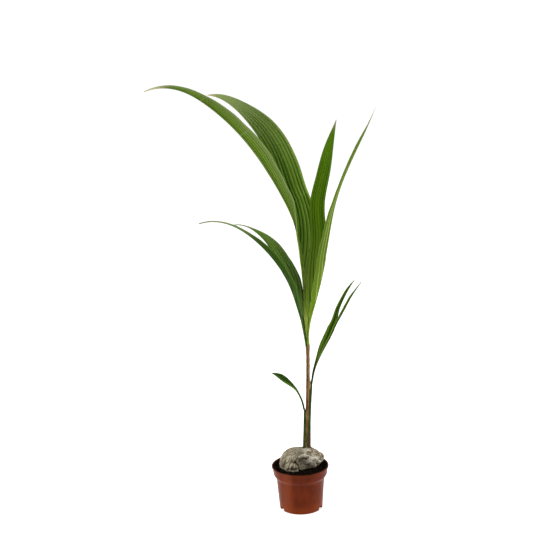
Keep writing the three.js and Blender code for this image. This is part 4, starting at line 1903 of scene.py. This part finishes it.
            # Left out only after its draws, so that the other strands stay where they are.
            if place[2] < self.peat_level:
                continue
            line = []
            for step in range(steps):
                near, normal = nearest(tree, place)
                bulge = 1 - abs(2 * step / (steps - 1) - 1)
                line.append((near + loose * bulge * radius * normal, radius * (0.25 + 0.75 * bulge)))
                flow = self.flow(near)
                flow = unit(flow - (flow @ normal) * normal)
                place = near + self.strand_step * unit(flow + sway * np.cross(normal, flow))
            lines.append(line)
        return lines

    def tuft(self, tree: BVHTree) -> Lines:
        """Torn fibres that hang and curl over the right end of the hollow.

        Args:
            tree: the husk's shape, for finding the nearest point on it.

        Returns:
            The points of each, with its radius there.
        """
        dice = random.Random(self.tuft_seed)
        lines = []
        for _ in range(self.tuft_strands):
            x = dice.uniform(*self.tuft_x)
            ledge = float(np.interp(x, self.ledge_x, self.ledge_z))
            place = np.array((x, self.tuft_y, ledge + dice.uniform(-0.008, 0.003)))
            aim = unit(np.array((dice.uniform(-0.7, 0.9), 0.0, -1.0)))
            curl = dice.uniform(-0.35, 0.35)
            loose = dice.uniform(0.0015, 0.006)
            steps = dice.randint(5, 9)
            line = []
            for step in range(steps):
                near, normal = nearest(tree, place)
                share = step / (steps - 1)
                radius = self.tuft_radius * (1.0 - 0.75 * share)
                line.append((near + loose * math.sqrt(share) * normal, radius))
                flow = unit(aim - (aim @ normal) * normal)
                aim = unit(flow + curl * np.cross(normal, flow))
                place = near + self.tuft_step * aim
            lines.append(line)
        return lines

    def shred_sheet(self, shape: Shape, shred: Shred) -> Shape:
        """A torn shred as a sheet, hanging off the husk by its upper edge, frayed at the lower one.

        Args:
            shape: the husk's shape.
            shred: the shred's sizes.

        Returns:
            The sheet.
        """
        points = np.array(shape.points)
        root = points[int(((points - np.asarray(shred.place)) ** 2).sum(axis=1).argmin())]
        normal = unit(root - np.asarray(self.body.centre))
        side = unit(np.cross((0.0, 0.0, 1.0), normal))
        rise = np.cross(normal, side)
        side, rise = (math.cos(shred.turn) * side + math.sin(shred.turn) * rise,
                      math.cos(shred.turn) * rise - math.sin(shred.turn) * side)
        sheet = Shape()
        steps = self.shred_steps
        grid = []
        for i in range(steps + 1):
            v = i / steps
            line = []
            for k in range(steps + 1):
                u = 2 * k / steps - 1
                coarse = abs(rough((u * 3.0, 0.0, shred.seed), 2.0, 2))
                teeth = 0.6 * coarse + 0.25 * rough((u * 9.0, 0.5, shred.seed), 2.0, 1)
                across = u * shred.half_width * (0.8 + 0.4 * rough((v * 2.0, shred.seed, 0.0), 1.3, 2))
                drop = shred.half_height * (1 - 2 * v * (1 + teeth * v))
                lift = 0.002 + 0.003 * v * v + 0.0035 * rough((u, v, shred.seed), 2.4, 3)
                place = root + across * side + drop * rise + lift * normal
                facing = unit(normal + 0.4 * u * side + 0.6 * v * rise)
                # Darker towards the upper edge, where the shred hangs off the husk.
                fold = 0.25 * (1 - v) ** 2
                worn = 0.3 + 0.5 * rough((u, v, shred.seed + 3.0), 3.0, 2)
                line.append(sheet.add(place, facing=facing, fold=fold, worn=worn, lay=self.lay(place)))
            grid.append(line)
        for low, high in zip(grid, grid[1:]):
            for k in range(steps):
                sheet.face(low[k], low[k + 1], high[k + 1], high[k])
        return sheet


@dataclass
class Pot:
    """A round nursery pot with a collar, a sloping ledge, a lip and drain notches in its foot."""

    finish: PotFinish = PotFinish()
    height: float = 0.146
    foot_radius: float = 0.0716
    ledge_foot: Pair = (0.0802, 0.104)
    collar_foot: Pair = (0.0896, 0.1175)
    collar_top: Pair = (0.0923, 0.141)
    lip_radius: float = 0.095
    wall: float = 0.0024
    floor: float = 0.003
    bevel: float = 0.0014
    bead: float = 0.0004
    bead_levels: Series = (-0.0045, -0.003, -0.0006, 0.0004)
    columns: int = 168
    round_steps: int = 5
    sharp_angle: float = 40.0
    notch_azimuths: Series = (-27, 90, 207)
    notch_width: float = 0.021
    notch_depth: float = 0.011
    notch_height: float = 0.0105
    notch_ease: float = 0.0015
    notch_spare: float = 0.004

    def inner(self, corner: Pair) -> Pair:
        """Corner of the inner wall beside a corner of the outer wall."""
        return corner[0] - self.wall, corner[1]

    def outline(self) -> list[Triple]:
        """Corners of the wall's section.

        Returns:
            The radius, the height and the size of the rounding of each.
        """
        lip, top = self.lip_radius, self.height
        ledge_r, ledge_z = self.ledge_foot
        under, low, high, over = (ledge_z + level for level in self.bead_levels)
        return [
            (self.foot_radius, 0.0, self.bevel),
            (ledge_r - 0.0003, under, 0.0008),
            (ledge_r + self.bead, low, 0.0012),
            (ledge_r + self.bead, high, 0.0008),
            (ledge_r + 0.0006, over, 0.0006),
            (*self.collar_foot, 0.0025),
            (*self.collar_top, 0.0007),
            (lip, self.collar_top[1] + 0.0004, 0.0008),
            (lip, top, 0.0016),
            (self.collar_top[0] - 0.0004, top, 0.0012),
            (*self.inner(self.collar_top), 0.0015),
            (*self.inner(self.collar_foot), 0.003),
            (*self.inner(self.ledge_foot), 0.002),
            (self.foot_radius - self.wall, self.floor, 0.002),
        ]

    def section(self) -> list[Pair]:
        """The wall's section with its corners rounded.

        Returns:
            Its points, from the axis below to the axis above the floor.
        """
        corners = self.outline()
        path = [(0.0, 0.0), *((r, z) for r, z, _ in corners), (0.0, self.floor)]
        made = [path[0]]
        for i, (r, z, size) in enumerate(corners, 1):
            here = np.array((r, z))
            before, after = np.array(path[i - 1]), np.array(path[i + 1])
            # The rounding stays short of the middle of both sides.
            cut = min(size, 0.45 * np.linalg.norm(before - here), 0.45 * np.linalg.norm(after - here))
            start, end = here + cut * unit(before - here), here + cut * unit(after - here)
            for t in np.linspace(0, 1, self.round_steps):
                made.append(tuple((1 - t) ** 2 * start + 2 * t * (1 - t) * here + t * t * end))
        return [*made, path[-1]]

    def build(self) -> None:
        """Builds and dresses the pot."""
        shape = Shape()
        section = self.section()
        rings = [shape.ring(r, z, self.columns) for r, z in section[1:-1]]
        shape.loft(rings, caps=False)
        for ring, centre, flip in ((rings[0], section[0], True), (rings[-1], section[-1], False)):
            middle = shape.add((0.0, 0.0, centre[1]))
            for i, corner in enumerate(ring):
                ends = (corner, ring[(i + 1) % self.columns])
                shape.face(middle, *(reversed(ends) if flip else ends))
        piece = shape.piece("pot_shell")
        self.cut_notches(piece)
        piece.data.materials.clear()
        piece.data.materials.append(self.finish.material())
        soften(piece.data)
        piece.data.set_sharp_from_angle(angle=math.radians(self.sharp_angle))
        settle(piece, "pot_plastic", "pot")

    def cut_notches(self, piece: Piece) -> None:
        """Cuts the drain notches out of the foot.

        Args:
            piece: the pot.
        """
        cutter = Shape()
        outer = self.foot_radius + self.notch_spare
        top, ease = self.notch_height, self.notch_ease
        levels = ((-self.notch_spare, 0.0), (top - ease, 0.0), (top, ease))
        for azimuth in self.notch_azimuths:
            out = np.array((math.cos(math.radians(azimuth)), math.sin(math.radians(azimuth)), 0.0))
            side = np.array((-out[1], out[0], 0.0))
            rings = []
            for z, narrow in levels:
                half = self.notch_width / 2 - narrow
                inner = self.foot_radius - self.notch_depth + narrow
                corners = ((inner, -half), (outer, -half), (outer, half), (inner, half))
                rings.append([cutter.add(r * out + s * side + (0, 0, z)) for r, s in corners])
            cutter.loft(rings)
        block = cutter.piece("notch_cutter")
        modifier = piece.modifiers.new("notches", "BOOLEAN")
        modifier.operation = "DIFFERENCE"
        modifier.solver = "EXACT"
        modifier.object = block
        keep_result(piece, modifier)
        bpy.data.objects.remove(block)


@dataclass
class Peat:
    """The bed of peat in the pot, with crumbs and bits of fibre on it."""

    pot: Pot
    coconut: Coconut
    finish: PeatFinish = PeatFinish()
    edge_drop: float = 0.010
    middle_drop: float = 0.007
    swell: float = 0.0016
    grain: float = 0.0009
    clearance: float = 0.0002
    foot_inset: float = 0.002
    foot_rise: float = 0.003
    ledge_inset: float = 0.0003
    ledge_drop: float = 0.001
    collar_inset: float = 0.0006
    rim_inset: float = 0.0004
    crumbs: tuple[Strewn, ...] = (
        Strewn("peat_crumbs", 21, 110000, 0.0042, "050301", "130b05"),
        Strewn("peat_brown_crumbs", 22, 22000, 0.0034, "1c1007", "382414"),
        Strewn("peat_clods", 23, 9000, 0.0085, "040301", "100a05"),
    )
    inmost: float = 0.02
    rings: int = 70
    columns: int = 180

    def bumps(self, x: float, y: float) -> float:
        """Height of the peat's swells and grains at a place."""
        return self.swell * rough((x, y, 0.0), 30.0, 3) + self.grain * rough((x, y, 2.0), 140.0, 3)

    def level(self, x: float, y: float, share: float) -> float:
        """Height of the peat at a place and a share of the way out to the wall."""
        fall = smooth(0.75, 1.0, share) * (self.edge_drop - self.middle_drop)
        return self.pot.height - self.middle_drop - fall + self.bumps(x, y)

    def open_share(self, place: Array) -> float:
        """One where the peat lies open, and nothing under the husk."""
        return float(smooth(0.92, 1.0, np.linalg.norm(self.coconut.body.within(place))))

    def build(self) -> None:
        """Builds and dresses the bed and what lies on it."""
        pot = self.pot
        shape = Shape()
        wall_top = pot.collar_top[0] - pot.wall - self.clearance
        edge_z = pot.height - self.edge_drop
        turns = np.linspace(0, 2 * math.pi, self.columns, endpoint=False)
        foot = pot.foot_radius - pot.wall
        sides = ((foot - self.foot_inset, pot.floor + self.clearance),
                 (foot, pot.floor + self.foot_rise),
                 (pot.ledge_foot[0] - pot.wall - self.ledge_inset, pot.ledge_foot[1] - self.ledge_drop),
                 (pot.collar_foot[0] - pot.wall - self.collar_inset, pot.collar_foot[1]))
        grain = (1.0, 0.0, 0.0)
        rings = [shape.ring(r, z, self.columns, open=0.0, loose=0.0, grain=grain) for r, z in sides]
        for share in np.linspace(1, self.inmost, self.rings):
            radius = share * (wall_top - self.rim_inset)
            ring = []
            for a in turns:
                x, y = radius * math.cos(a), radius * math.sin(a)
                point = np.array((x, y, self.level(x, y, share) if share < 1 else edge_z))
                bare = self.open_share(point) * float(smooth(0.975, 0.955, share))
                ring.append(shape.add(point, open=bare, loose=bare, grain=grain))
            rings.append(ring)
        shape.loft(rings)
        piece = shape.piece("peat_bed", self.finish)
        settle(piece, "peat", "soil")
        for kind in self.crumbs:
            crumbs = link(kind.name, piece.data.copy())
            finish = PlainFinish(kind.name + "_finish", kind.dark, kind.light, roughness=0.95,
                                 patch=500.0, shine=0.05)
            CrumbTree(finish).apply(crumbs, Density=float(kind.number), Width=kind.size, Seed=kind.seed)
            settle(crumbs, "peat")
        fibres = link("peat_fibres", piece.data.copy())
        straw = PlainFinish("peat_fibre_finish", "2a1c10", "6a5335", roughness=0.9, patch=90.0)
        FibreTree(straw).apply(fibres, Density=14000.0, Length=0.011, Slenderness=0.02, Bow=0.1,
                               Sway=3.1, Seed=24)
        settle(fibres, "peat")


@dataclass(frozen=True)
class Lamp:
    """A square soft light: its name, where it hangs, its side in metres and its power in watts."""

    name: str
    place: Triple
    size: float
    power: float

    def build(self, aim: Vector) -> None:
        """Hangs the light so that it faces a point.

        Args:
            aim: the point.
        """
        data = bpy.data.lights.new(self.name, "AREA")
        data.size = self.size
        data.energy = self.power
        lamp = bpy.data.objects.new(self.name, data)
        lamp.location = self.place
        lamp.rotation_euler = (aim - Vector(self.place)).to_track_quat("-Z", "Y").to_euler()
        bpy.context.scene.collection.objects.link(lamp)


@dataclass
class Studio:
    """A pale floor, soft light and a camera at the photograph's angle."""

    camera_place: Triple = (-0.0591, -3.0, 1.39)
    pitch: float = 11.33
    roll: float = 1.8
    lens: float = 62.096
    sensor: float = 36.0
    floor_radii: Series = (0.3, 1.5, 12.0)
    floor_points: int = 96
    floor_drop: float = 0.0002
    dome_bright: float = 1.0
    dome_dim: float = 0.2
    ground: float = 1.05
    aim: Triple = (0.0, 0.0, 0.75)
    lamps: tuple[Lamp, ...] = (
        Lamp("key", (-1.9, -1.6, 2.7), 1.5, 26.0),
        Lamp("left", (-2.0, -0.45, 0.8), 1.1, 30.0),
        Lamp("right", (2.0, -0.45, 0.8), 1.1, 28.0),
        Lamp("top", (0.2, 0.6, 3.4), 2.2, 20.0),
    )

    def build(self) -> None:
        """Builds the floor, the lights and the camera."""
        self.build_floor()
        self.build_dome()
        for lamp in self.lamps:
            lamp.build(Vector(self.aim))
        self.build_camera()

    def build_floor(self) -> None:
        """Builds the floor, a wide pale disc just under the pot."""
        shape = Shape()
        rings = [shape.ring(radius, -self.floor_drop, self.floor_points) for radius in self.floor_radii]
        shape.face(*rings[0])
        shape.loft(rings[::-1], caps=False)
        shape.piece("floor", FloorFinish(), outward=False)

    def build_dome(self) -> None:
        """Lights the scene from all round, less from behind the camera, on a white ground."""
        world = bpy.data.worlds.new("studio_dome")
        world.use_nodes = True
        world.node_tree.nodes.clear()
        sheet = NodeSheet(world.node_tree)
        toward = sheet.axes(sheet.wire("ShaderNodeTexCoord", {}, {}, "Generated"))[1]
        seen = sheet.wire("ShaderNodeLightPath", {}, {}, "Is Camera Ray")
        glow = self.dome_dim + (self.dome_bright - self.dome_dim) * toward.rise(-0.75, 0.1)
        strength = glow + seen * (self.ground - glow)
        light = sheet.wire("ShaderNodeBackground", {}, {"Color": "ffffff", "Strength": strength})
        sheet.node("ShaderNodeOutputWorld", {}, {"Surface": light})
        bpy.context.scene.world = world

    def build_camera(self) -> None:
        """Adds the camera, pitched down and rolled a little as the photograph's was."""
        data = bpy.data.cameras.new("camera")
        data.sensor_fit = "HORIZONTAL"
        data.sensor_width = self.sensor
        data.lens = self.lens
        camera = bpy.data.objects.new("camera", data)
        tilt = Euler((math.radians(90 - self.pitch), 0, 0)).to_matrix()
        turned = tilt @ Matrix.Rotation(-math.radians(self.roll), 3, "Z")
        camera.matrix_world = Matrix.Translation(self.camera_place) @ turned.to_4x4()
        bpy.context.scene.collection.objects.link(camera)
        bpy.context.scene.camera = camera
        bpy.context.scene.view_settings.view_transform = "Standard"


def halves(front: int, back: int) -> dict[Side, int]:
    """A number for each half of a leaf."""
    return {Side.FRONT: front, Side.BACK: back}


def leaves() -> list[Leaf]:
    """The five leaves.

    Returns:
        The leaves, from the lowest to the youngest.
    """
    return [
        Leaf(
            number=1, foot=(0.0183, 0.001, 0.344), front=1, midrib=0.177, lean=(7, 25, 43, 52, 66),
            heading=(190, 193, 196), width=(0.002, 0.003, 0.009, 0.0135, 0.0008),
            front_fold=(10, -28, -35), back_fold=(40, 47, 55), blade_start=0.2, slot="leaf",
            pleats=halves(2, 2), sheath=Sheath(180, 0.4, (46, 16), (0.006, 0.0062)),
            stalk_depth=(0.004, 0.0035, 0.0016, 0.0005), plump=1.3,
            upper=LeafFinish("leaf_1_upper", "1a3405", "4c6f1d", "456315", base_share=0.2,
                             shine=0.03, back_painted_shade=0.75),
            lower=LeafFinish("leaf_1_lower", "1f3706", "52711b", "496815", base_share=0.2,
                             line=0.5, shine=0.03, back_painted_shade=0.75),
            stalk=StalkFinish("leaf_1_stalk", "1c300c", "33481c")),
        Leaf(
            number=2, foot=(0.048, 0.006, 0.441), front=-1, midrib=0.18, lean=(11, 25.5, 32, 27),
            heading=(10, 13, 16), width=(0.003, 0.009, 0.021, 0.024), front_fold=(9, 35, 40),
            back_fold=(70, 70, 70), blade_start=0.2, slot="leaf", pleats=halves(3, 2),
            front_lobe=Lobe(0.178, (32.5, 29, 34, 37), (14, 12, 10, 8), (0.028, 0.027, 0.02, 0.003),
                            (39, 37, 32)),
            back_lobe=Lobe(0.176, (12, 27, 33, 44), (18, 21, 24, 27), (0.017, 0.012, 0.009, 0.002),
                           (70, 70, 70)),
            tip_roll=0.0014,
            sheath=Sheath(0, 0.65, (75, 70, 64, 56, 26), (0.0058, 0.0047, 0.0041, 0.0056, 0.0082)),
            stalk_depth=(0.003, 0.002, 0.001, 0.0005),
            upper=LeafFinish("leaf_2_upper", "2a4b06", "5f7e1a", "4a6c12", base_share=0.2),
            lower=LeafFinish("leaf_2_lower", "1e3803", "38530a", "2f4a07", base_share=0.2,
                             line=0.5, shine=0.03),
            stalk=StalkFinish("leaf_2_stalk", "1a260a", "333e17", brown_below=0.25)),
        Leaf(
            number=3, foot=(0.0312, -0.004, 0.552), front=1, midrib=0.27, lean=(7, 14, 17.5, 32),
            heading=(195, 200, 204), width=(0.0025, 0.008, 0.0243, 0.0452, 0.0515), front_fold=(0, 8, 6),
            back_fold=(90, 84, 79), blade_start=0.34, slot="leaf", pleats=halves(4, 5),
            front_lobe=Lobe(0.352, (41.5, 52.3, 71, 100), (206, 208, 210, 212),
                            (0.043, 0.023, 0.011, 0.0012), (15, 21, 28)),
            back_lobe=Lobe(0.233, (23, 37, 57.5, 98), (196, 188, 180, 172), (0.045, 0.025, 0.006, 0.0012),
                           (70, 66, 60)),
            tips=("front_tip",), tip_roll=0.0028,
            upper=LeafFinish("leaf_3_upper", "35560c", "729236", "6a8550", dry_share=0.84,
                             dry="6f7a4e", haze="6c8a48", hazy_edge=0.45),
            lower=LeafFinish("leaf_3_lower", "122903", "2a4409", "1c3503", "2c4013",
                             "5a6d36", dry="5f6844", line=0.5, dry_share=0.84, hazy=0.95,
                             shine=0.03),
            stalk=StalkFinish("leaf_3_stalk", "1e3409", "3a5015")),
        Leaf(
            number=4, foot=(0.0325, 0.005, 0.552), front=1, midrib=0.47, lean=(3.5, 0.5, 6.5, 26.5),
            heading=(180, 175, 168), width=(0.005, 0.010, 0.037, 0.064, 0.082),
            front_fold=(0, 0, 0, 6, 34.5), back_fold=(80, 80, 72), blade_start=0.25, slot="leaf",
            pleats=halves(6, 8), thickness=0.0006,
            front_lobe=Lobe(0.619, (33, 44.8, 61.4, 109), (170, 172, 174, 174),
                            (0.092, 0.067, 0.035, 0.0015), (39.4, 42, 27)),
            back_lobe=Lobe(0.483, (16.7, 35.5, 54.1, 86.2), (160, 152, 145, 138),
                           (0.086, 0.0697, 0.0327, 0.0015), (82, 70, 66)),
            tips=("front_tip", "back_tip"), tip_roll=0.002, rolled_from=0.85,
            stalk_depth=(0.0045, 0.0034, 0.0018, 0.0008), plump=1.9, rib_end=0.0024,
            upper=LeafFinish("leaf_4_upper", "315909", "7b9d31", "a3bd4d", base_share=0.45, hazy=0.6),
            lower=LeafFinish("leaf_4_lower", "1f3302", "4e6519", "4f690d", "65744a",
                             "66724a", line=0.5, dry_share=0.93, hazy_edge=0.4, shine=0.03,
                             creases=(0.64, 0.808)),
            stalk=StalkFinish("leaf_4_stalk", "7d9428", "a8b75a")),
        Leaf(
            number=5, foot=(0.037, -0.003, 0.552), front=-1, midrib=0.305, lean=(-3, 15.5, 15, 10.5),
            heading=(0, -6, -12), width=(0.003, 0.006, 0.035, 0.051, 0.058), front_fold=(15, 26, 22),
            back_fold=(90, 90, 86), blade_start=0.28, slot="young_leaf", pleats=halves(3, 6),
            thickness=0.0006,
            front_lobe=Lobe(0.499, (12, 22.5, 27, 23), (-15, -18, -20, -22),
                            (0.059, 0.031, 0.028, 0.0015), (8, 9, 0)),
            back_lobe=Lobe(0.435, (-5.5, 12.5, 7.5, 9), (-5, 5, 10, 15), (0.052, 0.045, 0.034, 0.0015),
                           (77, 72, 70)),
            stalk_depth=(0.003, 0.0026, 0.0016, 0.0008), plump=1.9,
            upper=LeafFinish("leaf_5_upper", "366002", "678a12", "a3bd4d",
                             haze="3f6305", base_share=0.75, hazy=0.6, shine=0.05),
            lower=LeafFinish("leaf_5_lower", "8b9d4d", "41570a", "5b7408", "43560c",
                             "4a5f0f", base_share=0.5, line=0.36, hazy=0.85, shine=0.03),
            stalk=StalkFinish("leaf_5_stalk", "536d0c", "819530")),
    ]


def main() -> None:
    """Builds the studio, the pot and what grows in it."""
    logging.basicConfig(level=logging.INFO, format="%(name)s: %(message)s")
    Studio().build()
    pot = Pot()
    pot.build()
    coconut = Coconut()
    coconut.build()
    Peat(pot, coconut).build()
    Stem().build()
    for leaf in leaves():
        leaf.build()
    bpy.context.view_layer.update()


if __name__ == "__main__":
    main()
